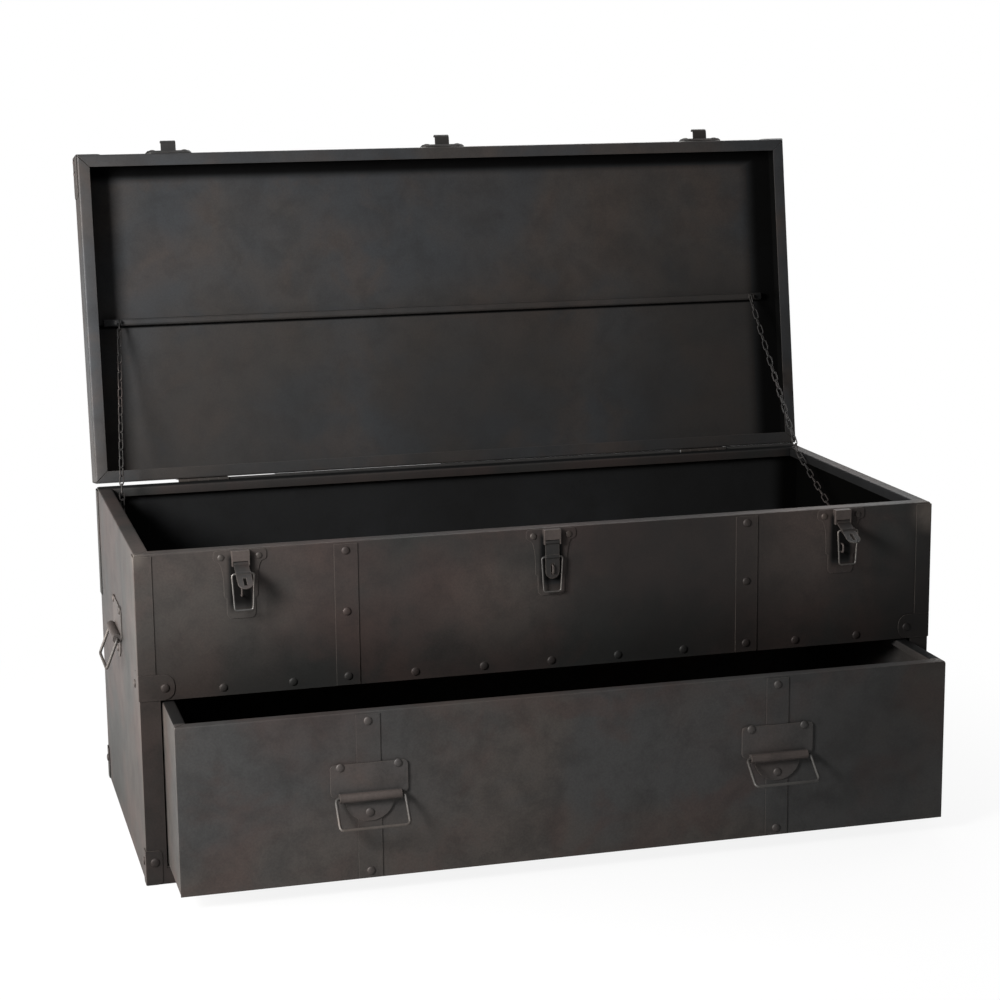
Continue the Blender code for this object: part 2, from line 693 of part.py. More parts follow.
def make_latch(side, x):
    face = -HALF_D - FACE_OUT
    axis_y = face - PIVOT_OUT
    plate = plate_mesh("base", latch_outline(x), TRIM, -HALF_D - SEAT)
    base = piece("latch_base_" + side, plate, HARDWARE_PAINT)
    top = PIVOT_Z + BASE_TOP
    sunk = face + TRIM / 2
    hood_low = PIVOT_Z + LEVER_BARREL + CHEEK_CLEAR
    cheek_in = LEVER_HALF + CHEEK_CLEAR
    hood_half = cheek_in + CHEEK
    add(base, box_mesh("hood", (x - hood_half, face - HOOD_OUT, hood_low), (x + hood_half, sunk, top)))
    for sign in (-1, 1):
        inside, outside = sorted((x + sign * cheek_in, x + sign * (cheek_in + CHEEK)))
        add(base, box_mesh("cheek_%d" % sign, (inside, face - HOOD_OUT, PIVOT_Z - LEVER_BARREL),
                           (outside, sunk, hood_low + CHEEK)))
    pin_end = cheek_in + CHEEK / 2
    add(base, rod_mesh("pin", (x - pin_end, axis_y, PIVOT_Z), (x + pin_end, axis_y, PIVOT_Z), PIVOT_PIN, 10))
    high = PIVOT_Z - STAPLE_TOP
    low = high - STAPLE_HEIGHT
    loop = [(x, sunk, high), (x, face - STAPLE_OUT, high), (x, face - STAPLE_OUT, low), (x, sunk, low)]
    add(base, curve_mesh("staple", [rounded_path(loop, 2 * STAPLE_WIRE, 2)], depth=STAPLE_WIRE))

    turn = -LEVER_OPEN[side]
    lever_joint = joint_empty("latch_lever_axis_" + side, (x, axis_y, PIVOT_Z), turn=turn)
    end = PIVOT_Z - LEVER_LENGTH + LEVER_HALF
    outline = [(LEVER_HALF, PIVOT_Z)] + arc((0, end), (LEVER_HALF, LEVER_HALF), 0, -90, 5)
    outline = [(x + dx, z) for dx, z in mirrored(outline)]
    lever = piece("latch_lever_" + side, plate_mesh("lever", outline, LEVER_SHEET, axis_y + LEVER_SHEET / 2),
                  HARDWARE_PAINT)
    boss_z = PIVOT_Z - BAIL_DROP
    ends = (x - LEVER_HALF, x + LEVER_HALF)
    for name, z, radius, bore in (("barrel", PIVOT_Z, LEVER_BARREL, PIVOT_PIN + BORE_CLEAR),
                                  ("boss", boss_z, BAIL_BOSS, BAIL_WIRE + BORE_CLEAR)):
        add(lever, rod_mesh(name, (ends[0], axis_y, z), (ends[1], axis_y, z), radius, 10))
        past = LEVER_HALF + BORE_CLEAR
        cut(lever, rod_mesh(name + "_bore", (x - past, axis_y, z), (x + past, axis_y, z), bore, 10))
    reach = STAPLE_WIRE + STAPLE_CLEAR
    cut(lever, box_mesh("slot", (x - SLOT_HALF, axis_y - LEVER_SHEET, low - reach),
                        (x + SLOT_HALF, axis_y + LEVER_SHEET, high + reach)))
    hang(lever, lever_joint)

    bail_joint = joint_empty("latch_bail_axis_" + side, (x, axis_y, boss_z), turn=-turn, carrier=lever_joint)
    tail = BAIL_TOP_HALF - BAIL_TAIL
    half = [(tail, 0), (BAIL_TOP_HALF, 0), (BAIL_END_HALF, -BAIL_LENGTH)]
    corners = [(-dx, dz) for dx, dz in half] + [(dx, dz) for dx, dz in reversed(half)]
    path = rounded_path([(x + dx, axis_y, boss_z + dz) for dx, dz in corners], BAIL_BEND)
    bail = piece("latch_bail_" + side, curve_mesh("bail", [path], depth=BAIL_WIRE), WIRE_PAINT)
    hang(bail, bail_joint)


def make_keeper(side, x, lid_joint):
    """Pressed keeper plate on the lid with a tongue curled up into the hook that the wire bail catches."""
    low = LID_LOW + KEEPER_LIFT
    high = low + KEEPER_HEIGHT
    half = [(0, high)] + arc((HOOK_HALF, high - KEEPER_ROUND), (KEEPER_ROUND, KEEPER_ROUND), 90, 0, 3)
    half += arc((KEEPER_HALF - KEEPER_ROUND, low + KEEPER_ROUND), (KEEPER_ROUND, KEEPER_ROUND), 45, -90, 4)
    outline = [(x + dx, z) for dx, z in mirrored(half)]
    plate = plate_mesh("keeper", outline, KEEPER_THICK, -HALF_D - SEAT)
    slope_front_edge(plate, KEEPER_SLOPE)
    keeper = piece("lid_keeper_" + side, plate, HARDWARE_PAINT)
    root = -HALF_D - SEAT - TRIM / 2
    z = low + HOOK_LIFT
    curl = HOOK_RISE / 2
    rear = HOOK_OUT - curl
    outer = [(root, z), (root - rear, z)]
    outer += [(root - rear - curl * math.sin(t), z + curl * (1 - math.cos(t)))
              for t in (math.pi / 6, math.pi / 3, math.pi / 2, 2 * math.pi / 3, 5 * math.pi / 6)]
    centre = (root - rear, z + curl)
    thin = 1 - HOOK_SHEET / curl
    inner = [(centre[0] + (y - centre[0]) * thin, centre[1] + (w - centre[1]) * thin)
             for y, w in reversed(outer[2:])]
    inner += [(root - rear, z + HOOK_SHEET), (root, z + HOOK_SHEET)]
    mesh = curve_mesh("hook", [outer + inner], extrude=HOOK_HALF, cyclic=True)
    stand = Matrix(((0, 0, 1, x), (1, 0, 0, 0), (0, 1, 0, 0), (0, 0, 0, 1)))
    mesh.transform(stand)
    add(keeper, mesh)
    hang(keeper, lid_joint)


# Drop handles


def make_handle(name, place, turn, grip_open, carrier, relief):
    """Plate with a rolled barrel and a round tab, and a wire grip that swings in the barrel.

    It is drawn facing -Y about its barrel's axis, then turned and moved to its place.
    """
    stand = Matrix.Translation(place) @ Matrix.Rotation(math.radians(turn), 4, "Z")
    depth = HANDLE_SHEET + (FACE_OUT + SEAT if relief else 0)
    half = [(0, HANDLE_TOP)]
    bend = (HANDLE_ROUND, HANDLE_ROUND)
    half += arc((HANDLE_HALF - HANDLE_ROUND, HANDLE_TOP - HANDLE_ROUND), bend, 90, 0, 2)
    half += arc((HANDLE_HALF - HANDLE_ROUND, HANDLE_ROUND), bend, 0, -90, 2)
    half += arc((0, -TAB_START), (TAB_HALF, TAB_DROP - TAB_START), 0, -90, 6)
    face = -SEAT - depth
    axis_y = face - ROLL_RADIUS + HANDLE_SHEET
    plate = plate_mesh("plate", mirrored(half), depth, -SEAT)
    roll = rod_mesh("roll", (-ROLL_HALF, axis_y, 0), (ROLL_HALF, axis_y, 0), ROLL_RADIUS, 14)
    bore = rod_mesh("bore", (-2 * ROLL_HALF, axis_y, 0), (2 * ROLL_HALF, axis_y, 0),
                    GRIP_WIRE + GRIP_CLEAR, 10)
    shapes = [plate, roll, bore]
    if relief:
        side = STRAP_WIDTH / 2 + SEAT
        shapes.append(box_mesh("strap_relief", (-side, -SEAT - FACE_OUT, -2 * TAB_DROP),
                               (side, SEAT, 2 * HANDLE_TOP)))
    for shape in shapes:
        shape.transform(stand)
    body = piece(name + "_plate", plate, HARDWARE_PAINT)
    add(body, roll)
    for shape in shapes[2:]:
        cut(body, shape)
    axis = stand @ Vector((0, axis_y, 0))
    axis_name, swing = ("X", -grip_open) if turn == 0 else ("Y", math.copysign(grip_open, -turn))
    grip_joint = joint_empty(name + "_axis", axis, axis=axis_name, turn=swing, carrier=carrier)
    tail = GRIP_HALF - GRIP_TAIL
    corners = [(-tail, 0), (-GRIP_HALF, 0), (-GRIP_HALF, -GRIP_DROP)]
    corners += [(-dx, dz) for dx, dz in reversed(corners)]
    path = rounded_path([(dx, axis_y, dz) for dx, dz in corners], GRIP_BEND)
    wire = curve_mesh("grip", [path], depth=GRIP_WIRE)
    wire.transform(stand)
    grip = piece(name + "_grip", wire, WIRE_PAINT)
    hang(grip, grip_joint)
    if carrier:
        hang(body, carrier)


# Stay chains


def chain_case_point(sign):
    """Middle of the pin on the case wall that holds a chain's lower end."""
    return Vector((sign * (HALF_W - CHAIN_CASE_INSET), CHAIN_CASE_Y, CASE_HEIGHT - CHAIN_CASE_DROP))


def chain_lid_point(sign):
    """Middle of the pin on the lid bar that holds a chain's upper end, with the lid shut."""
    return Vector((sign * CHAIN_LID_X, BAR_Y, BAR_Z - CHAIN_PIN_DROP))


def chain_pin_meshes(point, sign, root_x, reach):
    """A headed pin along X, from its root to a reach beyond the middle of the link."""
    tip = point - Vector((sign * reach, 0, 0))
    root = Vector((sign * root_x, point.y, point.z))
    head = tip + Vector((sign * PIN_HEAD_THICK, 0, 0))
    return [rod_mesh("pin_%d" % sign, root, tip, CHAIN_PIN, 10),
            rod_mesh("head_%d" % sign, tip, head, PIN_HEAD, 10)]


def link_path(near, far, side, radius):
    """The closed centre line of one link between the middles of its two round ends."""
    along = (far - near).normalized()
    path = []
    for middle, start in ((far, -67.5), (near, 112.5)):
        for step in range(4):
            angle = math.radians(start + 45 * step)
            path.append(middle + along * radius * math.cos(angle) + side * radius * math.sin(angle))
    return path


def link_run(first, last, tilts, count):
    """The centre lines of a straight run of links between its two outer ends, as even and odd links.

    The links lie turned to one side and the other by turns, apart from those with a tilt of their own.
    """
    along = (last - first).normalized()
    length = ((last - first).length + (count - 1) * LINK_LAP) / count
    upright = along.cross(Vector((1, 0, 0))).normalized()
    level = along.cross(upright).normalized()
    groups = ([], [])
    for index in range(count):
        near = first + along * (index * (length - LINK_LAP) + LINK_RADIUS)
        far = near + along * (length - 2 * LINK_RADIUS)
        turn = math.radians(tilts.get(index, LINK_TURN if index % 2 else -LINK_TURN))
        across = upright * math.cos(turn) + level * math.sin(turn)
        groups[index % 2].append(link_path(near, far, across, LINK_RADIUS))
    return groups


def make_chain(side, sign):
    """Two runs of links with a loose knee between them, the upper one hung on the lid bar's pin.

    The chain hangs a little slack. The links of a run lock into one another, and the last link hangs
    beside the head of the case's pin, clear of its turned neighbours as they pass.
    """
    open_turn = Matrix.Rotation(math.radians(-LID_OPEN), 4, "X")
    upper_end = HINGE_AXIS + open_turn @ (chain_lid_point(sign) - HINGE_AXIS)
    lower_end = chain_case_point(sign)
    span = upper_end - lower_end
    sag = span.cross(Vector((1, 0, 0))).normalized() * CHAIN_SAG
    knee = lower_end + span * LOWER_LINKS / LINK_COUNT + sag
    rise = (upper_end - knee).normalized()
    hook = knee - rise * (2 * LINK_WIRE + LINK_CLEAR)
    top = upper_end + rise * LINK_RADIUS
    low = lower_end - (knee - lower_end).normalized() * LINK_RADIUS
    upper_links = LINK_COUNT - LOWER_LINKS
    runs = {"upper": (upper_end, link_run(hook, top, {0: 0.0, upper_links - 1: 0.0}, upper_links)),
            "lower": (knee, link_run(low, knee, {0: 0.0, LOWER_LINKS - 1: 90.0}, LOWER_LINKS))}
    for run, (pivot, groups) in runs.items():
        joint = joint_empty("chain_" + run + "_axis_" + side, pivot)
        first, second = [curve_mesh("links_%d" % i, group, depth=LINK_WIRE, resolution=0, cyclic=True)
                         for i, group in enumerate(groups)]
        chain = piece("chain_" + run + "_" + side, first, WIRE_PAINT)
        add(chain, second)
        hang(chain, joint)


def main():
    lid_joint = joint_empty("lid_axis", HINGE_AXIS, turn=-LID_OPEN)
    drawer_joint = joint_empty("drawer_slide", (0, -HALF_D, DRAWER_BOTTOM), slide=(0, -DRAWER_OUT, 0))
    make_case()
    make_runners()
    make_corner_trim()
    make_straps(drawer_joint)
    make_drawer(drawer_joint)
    make_lid(lid_joint)
    make_bar(lid_joint)
    make_hinges(lid_joint)
    for side, x in LATCHES.items():
        make_latch(side, x)
        make_keeper(side, x, lid_joint)
    for side, sign in SIDES.items():
        drawer_place = (sign * STRAP_X, -HALF_D, DRAWER_BOTTOM + DRAWER_HANDLE_RISE)
        grip_open = GRIP_OPEN["drawer_" + side]
        make_handle("drawer_handle_" + side, drawer_place, 0, grip_open, drawer_joint, True)
        end_place = (sign * HALF_W, 0, END_HANDLE_HEIGHT)
        make_handle("end_handle_" + side, end_place, sign * 90, GRIP_OPEN["end_" + side], None, False)
        make_chain(side, sign)
    bpy.context.view_layer.update()


main()
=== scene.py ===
# %% [markdown]
# # A dark steel trunk
# The trunk is folded from thin steel sheet, riveted together and left with a smoky gunmetal patina.
# Its solids come from the packed model, which stays exactly where it is.
# This lesson dresses them: soft edges, the patina, rivet heads, bent wire and chain.

# %% Load the packed trunk
import json
import math
import random

import bmesh
import bpy
from mathutils import Matrix, Vector


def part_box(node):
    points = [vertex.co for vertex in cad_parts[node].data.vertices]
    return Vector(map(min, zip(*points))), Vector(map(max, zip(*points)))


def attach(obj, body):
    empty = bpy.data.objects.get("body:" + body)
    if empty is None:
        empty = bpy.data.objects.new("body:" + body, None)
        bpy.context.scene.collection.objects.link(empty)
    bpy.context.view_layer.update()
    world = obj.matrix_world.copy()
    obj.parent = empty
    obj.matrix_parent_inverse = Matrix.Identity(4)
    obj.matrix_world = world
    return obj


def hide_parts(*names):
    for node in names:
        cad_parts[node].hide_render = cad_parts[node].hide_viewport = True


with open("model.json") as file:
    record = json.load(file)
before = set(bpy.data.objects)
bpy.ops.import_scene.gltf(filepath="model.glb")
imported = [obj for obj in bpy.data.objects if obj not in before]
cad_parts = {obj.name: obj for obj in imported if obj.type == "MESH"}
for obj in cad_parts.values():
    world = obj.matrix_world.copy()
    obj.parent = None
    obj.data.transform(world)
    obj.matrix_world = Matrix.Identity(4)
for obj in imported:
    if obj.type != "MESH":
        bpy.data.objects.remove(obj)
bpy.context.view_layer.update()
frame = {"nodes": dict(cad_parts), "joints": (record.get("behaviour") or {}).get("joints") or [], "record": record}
scene = bpy.context.scene
nodes = frame["nodes"]
slot_of = {part["node"]: part["material_slot"] for part in frame["record"]["subparts"]}
joints = {joint["child"]: joint for joint in frame["joints"]}
pivots = {child: Vector(joint.get("pos_m", (0, 0, 0))) for child, joint in joints.items()}

# %% [markdown]
# ## The camera
# The photographer stood to the left of the trunk, a little above the open case.
# A camera can be placed by eye, but here its place and turn were worked out from the trunk's corners,
# so that every edge falls where the photograph has it.

# %% Camera
CAMERA_PLACE = Vector((-0.841, -3.078, 1.072))
CAMERA_YAW = math.radians(15.18)
CAMERA_PITCH = math.radians(11.34)
CAMERA_ROLL = math.radians(-0.61)
CAMERA_LENS = 82.36
CAMERA_SHIFT = (0.0012, -0.0007)
TRUNK_MIDDLE = Vector((0, 0, 0.4))

flat_ahead = Vector((math.sin(CAMERA_YAW), math.cos(CAMERA_YAW), 0))
ahead = flat_ahead * math.cos(CAMERA_PITCH) - Vector((0, 0, math.sin(CAMERA_PITCH)))
level = Vector((math.cos(CAMERA_YAW), -math.sin(CAMERA_YAW), 0))
upright = level.cross(ahead)
camera_right = math.cos(CAMERA_ROLL) * level + math.sin(CAMERA_ROLL) * upright
camera_up = math.cos(CAMERA_ROLL) * upright - math.sin(CAMERA_ROLL) * level
camera_data = bpy.data.cameras.new("photo_camera")
camera_data.lens = CAMERA_LENS
camera_data.shift_x, camera_data.shift_y = CAMERA_SHIFT
camera = bpy.data.objects.new("photo_camera", camera_data)
camera_turn = Matrix((camera_right, camera_up, -ahead)).transposed().to_4x4()
camera.matrix_world = Matrix.Translation(CAMERA_PLACE) @ camera_turn
scene.collection.objects.link(camera)
scene.camera = camera
scene.view_settings.view_transform = "Standard"
print("Camera", round((CAMERA_PLACE - TRUNK_MIDDLE).length, 2), "m from the trunk")

# %% [markdown]
# ## Shader maths in Python
# Every finish below is a small sum of masks and colours.
# Nodes can be wired one by one, but sums are easier to read as sums.
# A Signal wraps a socket, so that `1 - mask` or `mask * 0.5` adds the Math node that does it.

# %% Signal


class Signal:
    """An output socket that Python arithmetic can use."""

    def __init__(self, tree, socket=None):
        self.tree = tree
        self.socket = socket

    def node(self, kind, settings=None, inputs=None, outlet=0):
        """Adds a node of any kind: its settings first, then a value or a link for each socket."""
        made = self.tree.nodes.new(kind)
        for name, value in (settings or {}).items():
            setattr(made, name, value)
        for name, value in (inputs or {}).items():
            if isinstance(value, Signal):
                self.tree.links.new(value.socket, made.inputs[name])
            else:
                made.inputs[name].default_value = value
        return Signal(self.tree, made.outputs[outlet])

    def feed(self, shader, name):
        """Links this signal to a named socket of a shader."""
        self.tree.links.new(self.socket, shader.inputs[name])

    def math(self, operation, *values):
        return self.node("ShaderNodeMath", {"operation": operation}, dict(enumerate(values)))

    def __add__(self, other):
        return self.math("ADD", self, other)

    def __sub__(self, other):
        return self.math("SUBTRACT", self, other)

    def __rsub__(self, other):
        return self.math("SUBTRACT", other, self)

    def __mul__(self, other):
        return self.math("MULTIPLY", self, other)

    __radd__ = __add__
    __rmul__ = __mul__

    def most(self, other):
        return self.math("MAXIMUM", self, other)

    def least(self, other):
        return self.math("MINIMUM", self, other)

    def size(self):
        """The value without its sign."""
        return self.math("ABSOLUTE", self)

    def between(self, low, high):
        """0 at low and 1 at high, with a soft step between them. It falls where low is the larger."""
        return self.node("ShaderNodeMapRange", {"interpolation_type": "SMOOTHSTEP"},
                         {"Value": self, "From Min": low, "From Max": high})

    def tint(self, first, second):
        """A colour between two, with this signal as the share of the second."""
        return self.node("ShaderNodeMix", {"data_type": "RGBA"},
                         {0: self, 6: first, 7: second}, outlet=2)

    def vector(self, operation, other, outlet="Vector"):
        return self.node("ShaderNodeVectorMath", {"operation": operation}, {0: self, 1: other}, outlet)

    def axis(self, name):
        """One part of a vector: X, Y or Z."""
        return self.node("ShaderNodeSeparateXYZ", None, {0: self}, name)

    def noise(self, scale, detail=4.0, roughness=0.55, distortion=0.0):
        """Soft noise over this place, with its scale in blots to the metre."""
        return self.node("ShaderNodeTexNoise", None, {
            "Vector": self, "Scale": scale, "Detail": detail, "Roughness": roughness,
            "Distortion": distortion})


print("Signal has", len([name for name in vars(Signal) if not name.startswith("_")]), "methods")

# %% [markdown]
# ## A white studio
# The photograph has a plain white ground, and dark steel is mostly a picture of what stands round it.
# A white room could be built from panels, but the world does it with less:
# the camera sees white, and reflections see a pale sweep behind the trunk and a dim room in front.
# All other light from the world is a weak fill.

# %% World
WHITE = (1.0, 1.0, 1.0, 1.0)
FILL = 0.12
ROOM = 0.07
SWEEP = 0.14
SWEEP_EDGE = (-0.15, 0.25)


def ray_kind(tree, name):
    return Signal(tree).node("ShaderNodeLightPath", outlet=name)


def seen_rays(tree):
    """1 for the rays that look straight at the ground, also through glass."""
    return ray_kind(tree, "Is Camera Ray").most(ray_kind(tree, "Is Transmission Ray"))


world = bpy.data.worlds.new("white_studio")
world.use_nodes = True
world.cycles.sampling_method = "NONE"
scene.world = world
sky = world.node_tree
sky.nodes["Background"].inputs["Color"].default_value = WHITE
toward = Signal(sky).node("ShaderNodeTexCoord", outlet="Generated")
sweep = toward.axis("Y").between(*SWEEP_EDGE)
mirror = ray_kind(sky, "Is Glossy Ray")
mirrored = mirror * (sweep * (SWEEP - ROOM) + ROOM)
brightness = seen_rays(sky).most(mirrored).most((1 - mirror) * FILL)
brightness.feed(sky.nodes["Background"], "Strength")
print("World: fill", FILL, "room", ROOM)

# %% [markdown]
# ## The floor
# The floor is pale paper that runs up into the white ground.
# Lit paper alone would turn grey in the distance, and plain white would lose the trunk's shadow,
# so the camera sees mostly white, and near the trunk a share of the lit paper with its shadow.
# To all other rays the paper is dimmer, or its glow would flatten the light on the front.

# %% Floor
FLOOR_HALF = 7.0
FLOOR_PARTS = 8
FLOOR_DROP = 0.0006
FLOOR_LIT_SHARE = 0.12
FLOOR_NEAR = (1.15, 0.6)
FLOOR_BEHIND = (0.2, 0.9)
PAPER = (0.85, 0.85, 0.85, 1)
DIM_PAPER = (0.36, 0.36, 0.36, 1)
PAPER_ROUGHNESS = 0.9

floor_bm = bmesh.new()
bmesh.ops.create_grid(floor_bm, x_segments=FLOOR_PARTS, y_segments=FLOOR_PARTS, size=FLOOR_HALF)
floor_mesh = bpy.data.meshes.new("studio_floor")
floor_bm.to_mesh(floor_mesh)
floor_bm.free()
floor = bpy.data.objects.new("studio_floor", floor_mesh)
floor.location.z = -FLOOR_DROP
scene.collection.objects.link(floor)
floor_paint = bpy.data.materials.new("studio_floor_paint")
floor_paint.use_nodes = True
floor_paint.cycles.emission_sampling = "NONE"
paint_tree = floor_paint.node_tree
matte = paint_tree.nodes["Principled BSDF"]
seen_rays(paint_tree).tint(DIM_PAPER, PAPER).feed(matte, "Base Color")
matte.inputs["Roughness"].default_value = PAPER_ROUGHNESS
matte.inputs["Specular IOR Level"].default_value = 0.0
glow = Signal(paint_tree).node("ShaderNodeEmission", None, {"Color": WHITE, "Strength": 1.0})
lit = Signal(paint_tree, matte.outputs[0])
spot = Signal(paint_tree).node("ShaderNodeTexCoord", outlet="Object")
away = spot.node("ShaderNodeVectorMath", {"operation": "LENGTH"}, {0: spot}, "Value")
near = away.between(*FLOOR_NEAR)
behind = spot.axis("Y").between(*FLOOR_BEHIND)
white_share = seen_rays(paint_tree) * (1 - near * FLOOR_LIT_SHARE)
white_share = white_share.most(ray_kind(paint_tree, "Is Glossy Ray") * behind)
ground = Signal(paint_tree).node("ShaderNodeMixShader", None, {0: white_share, 1: lit, 2: glow})
ground.feed(paint_tree.nodes["Material Output"], "Surface")
floor_mesh.materials.append(floor_paint)
print("Floor", 2 * FLOOR_HALF, "m wide")

# %% [markdown]
# ## Soft light from the left
# In the photograph the left end is bright, and the front falls off from left to right.
# A wide panel would fill every fold, so the key is a small one, near the trunk on the left
# and a little above it: ledges throw soft shade into the lid, and the inside of the case stays dark.
# A larger panel shines along the left end, and one above draws the rims.
# One behind and one to the right light the sides that the camera does not see.

# %% Lamps
AIM = Vector((-0.1, -0.1, 0.45))


def panel_light(name, place, size, power, colour=(1, 1, 1)):
    """A square soft box aimed at the trunk."""
    data = bpy.data.lights.new(name, "AREA")
    data.color = colour
    data.size = size
    data.energy = power
    lamp = bpy.data.objects.new(name, data)
    lamp.location = place
    lamp.rotation_euler = (AIM - Vector(place)).to_track_quat("-Z", "Y").to_euler()
    scene.collection.objects.link(lamp)


panel_light("key_panel", (-1.75, -1.45, 1.25), 0.6, 77)
panel_light("left_panel", (-2.2, -0.1, 0.5), 1.2, 66, (1.0, 0.95, 0.90))
panel_light("top_panel", (0.1, 0.35, 2.5), 1.6, 10)
panel_light("back_panel", (1.0, 2.2, 2.4), 1.6, 40)
panel_light("right_panel", (2.3, 0.75, 0.9), 1.2, 28)

# %% [markdown]
# ## Smoked steel
# The sheet was blackened with heat and oil, which leaves a grey-brown ground
# with redder stains and cool clouds. A painted texture would need an image.
# Noise in the trunk's own coordinates needs none, runs on across the seams,
# and stays put when the lid or the drawer moves.
# The colours come first, each chosen under the lamps above.

# %% Colours of the steel
BROWN = (0.0555, 0.0417, 0.0380, 1)
RUST = (0.065, 0.0430, 0.0377, 1)
COOL = (0.0352, 0.0355, 0.0338, 1)
# The soot colour darkens the fine smoke and the dark blots, and these blots are partly painted shade.
SOOT_AND_SHADE = (0.015, 0.0145, 0.014, 1)
# The matt black and the blue-black below go into the darkened places: painted shade in the case and the lid.
MATT_BLACK = (0.0015, 0.0015, 0.0014, 1)
DARKENED_TINT = (0.043, 0.0445, 0.047, 1)
# The pale colour is painted light.
PAINTED_LIGHT_TONE = (0.105, 0.086, 0.075, 1)
# Parts that stand out toward the front, the latch hoods and the handle barrels, turn paler.
PROUD_PALE = (0.090, 0.073, 0.066, 1)
# Rubbed edges take the bare colour, and it also stands for their highlight.
BARE_AND_HIGHLIGHT = (0.200, 0.172, 0.148, 1)
print("Brown steel", BROWN[:3], "and bare steel", BARE_AND_HIGHLIGHT[:3])

# %% [markdown]
# ## Rubbed edges and painted highlights
# Years of hands and cloths rub the smoke off the edges, down to brighter metal. The brighter edges also stand for
# the highlights on the rounded folds, so they are partly painted highlight.
# The edges could be painted piece by piece. Here the surface is compared with a rounded copy of itself,
# and where the two look different ways there is an edge.

# %% Rubbed edges and painted highlights
EDGE_SAMPLES = 6
EDGE_RADIUS = 0.0012
EDGE_TURN = (0.02, 0.25)


def new_finish(name):
    """A new material, its shader, and the place on the trunk that its noise is read at."""
    material = bpy.data.materials.new(name)
    material.use_nodes = True
    tree = material.node_tree
    place = Signal(tree).node("ShaderNodeTexCoord", outlet="Object")
    return material, tree.nodes["Principled BSDF"], place


def edge_wear_and_highlight(place):
    """1 along edges, where the surface turns away from a rounded copy of itself."""
    rounded = place.node("ShaderNodeBevel", {"samples": EDGE_SAMPLES}, {"Radius": EDGE_RADIUS})
    flat = place.node("ShaderNodeNewGeometry", outlet="Normal")
    return (1 - rounded.vector("DOT_PRODUCT", flat, "Value")).between(*EDGE_TURN)


print("Edges rubbed", 1000 * EDGE_RADIUS, "mm wide")

# %% [markdown]
# ## Smoky, shaded and pale places
# The dark places are partly smoke and partly painted shade: beside the latches, on the lower lid, and falling off
# toward the right end. The pale places are painted light.
# The smoke is uneven: the photograph shows soft dark places on the front and the back,
# and paler ones beside them.
# Another noise would scatter them anywhere. Round blots, each with its middle, radius and depth,
# fall where the photograph has them, and their edges wander with the clouds.

# %% Soft blots
BLOT_CORE = 0.2
# Dark blots: smoke, and painted shade beside the latches, on the lower lid and toward the right end.
SMOKE_AND_SHADE_SPOTS = [((0.17, -0.24, 0.36), 0.22, 0.62), ((0.54, -0.24, 0.33), 0.17, 0.85),
                ((-0.395, -0.24, 0.385), 0.055, 0.45), ((0.03, -0.24, 0.385), 0.04, 0.50),
                ((0.43, -0.24, 0.395), 0.04, 0.50), ((0.42, -0.36, 0.14), 0.24, 0.45),
                ((-0.30, 0.26, 0.47), 0.34, 0.40), ((0.05, 0.26, 0.47), 0.36, 0.50),
                ((0.42, 0.26, 0.47), 0.36, 0.55)]
# Pale blots: painted light.
PAINTED_LIGHT_SPOTS = [((-0.49, -0.24, 0.35), 0.22, 0.36), ((-0.06, -0.24, 0.35), 0.10, 0.34),
              ((0.34, -0.24, 0.42), 0.12, 0.36), ((-0.25, -0.36, 0.06), 0.26, 0.14),
              ((-0.55, -0.12, 0.10), 0.24, 0.14)]
RUBBED_SPOTS = [((0.549, -0.240, 0.424), 0.036, 0.5), ((-0.549, -0.240, 0.436), 0.020, 0.3)]


def soft_spots(place, spots, wander):
    """Soft round blots with edges that wander."""
    blots = place.axis("X") * 0.0
    for centre, radius, depth in spots:
        away = place.vector("DISTANCE", centre, "Value") + wander * radius
        blots = blots.most(away.between(radius, BLOT_CORE * radius) * depth)
    return blots


print("Blots:", len(SMOKE_AND_SHADE_SPOTS), "smoky,", len(PAINTED_LIGHT_SPOTS), "pale,", len(RUBBED_SPOTS), "rubbed")

# %% [markdown]
# ## Which way a face looks
# The painted shade lies on the inside of a sheet and not on its outside, and the drawer is darker on what faces
# up.
# The renderer's own normal turns with the lid, so the lid would change its looks as it swings.
# The normal in the piece's own coordinates holds in every pose.

# %% Faces
LOOKS_IN = (0.0, -0.02)
LOOKS_UP = (0.5, 0.9)
LOOKS_FORWARD = (-0.3, -0.7)


def own_normal(place):
    """Where the surface looks, in the coordinates of its own piece."""
    return place.node("ShaderNodeTexCoord", outlet="Normal")


def facing(place, axis):
    """How far the surface looks along one axis, from -1 to 1."""
    return own_normal(place).axis(axis)


def inward(place, middle):
    """1 where the surface looks in, toward a middle."""
    away = place.vector("SUBTRACT", middle)
    return away.vector("DOT_PRODUCT", own_normal(place), "Value").between(*LOOKS_IN)


print("A face looks up from", LOOKS_UP[0], "to", LOOKS_UP[1], "of straight up")

# %% [markdown]
# ## Painted shade in the case
# The inside of the case is nearly black, and the foot of its front is darker; its back and right rims are painted
# darker too.
# Less light would do that too, but the lamps that draw the rims also reach in here,
# so this shade is painted on as a mask that stops at the skin of the walls.

# %% Painted shade in the case
COMPARTMENT_MIDDLE = (0, 0, 0.34)
BELOW_RIM = (0.430, 0.418)
END_SKIN = (0.5488, 0.5483)
FRONT_SKIN = (0.2388, 0.2383)
RIGHT_END = (0.50, 0.53)
BACK_RIM = (0.205, 0.225)
LOW_FRONT = (0.390, 0.250)
BEHIND_DRAWER_FRONT = (-0.32, -0.26)
# Shares of painted shade inside the case and low on its front, and of the darker back and right rims.
LIP_SHADE = 0.3
INSIDE_SHADE = 0.54
RIGHT_END_MORE = 0.45
LOW_FRONT_SHADE = 0.44
BACK_RIM_DARK = 0.65
RIGHT_RIM_DARK = 0.1


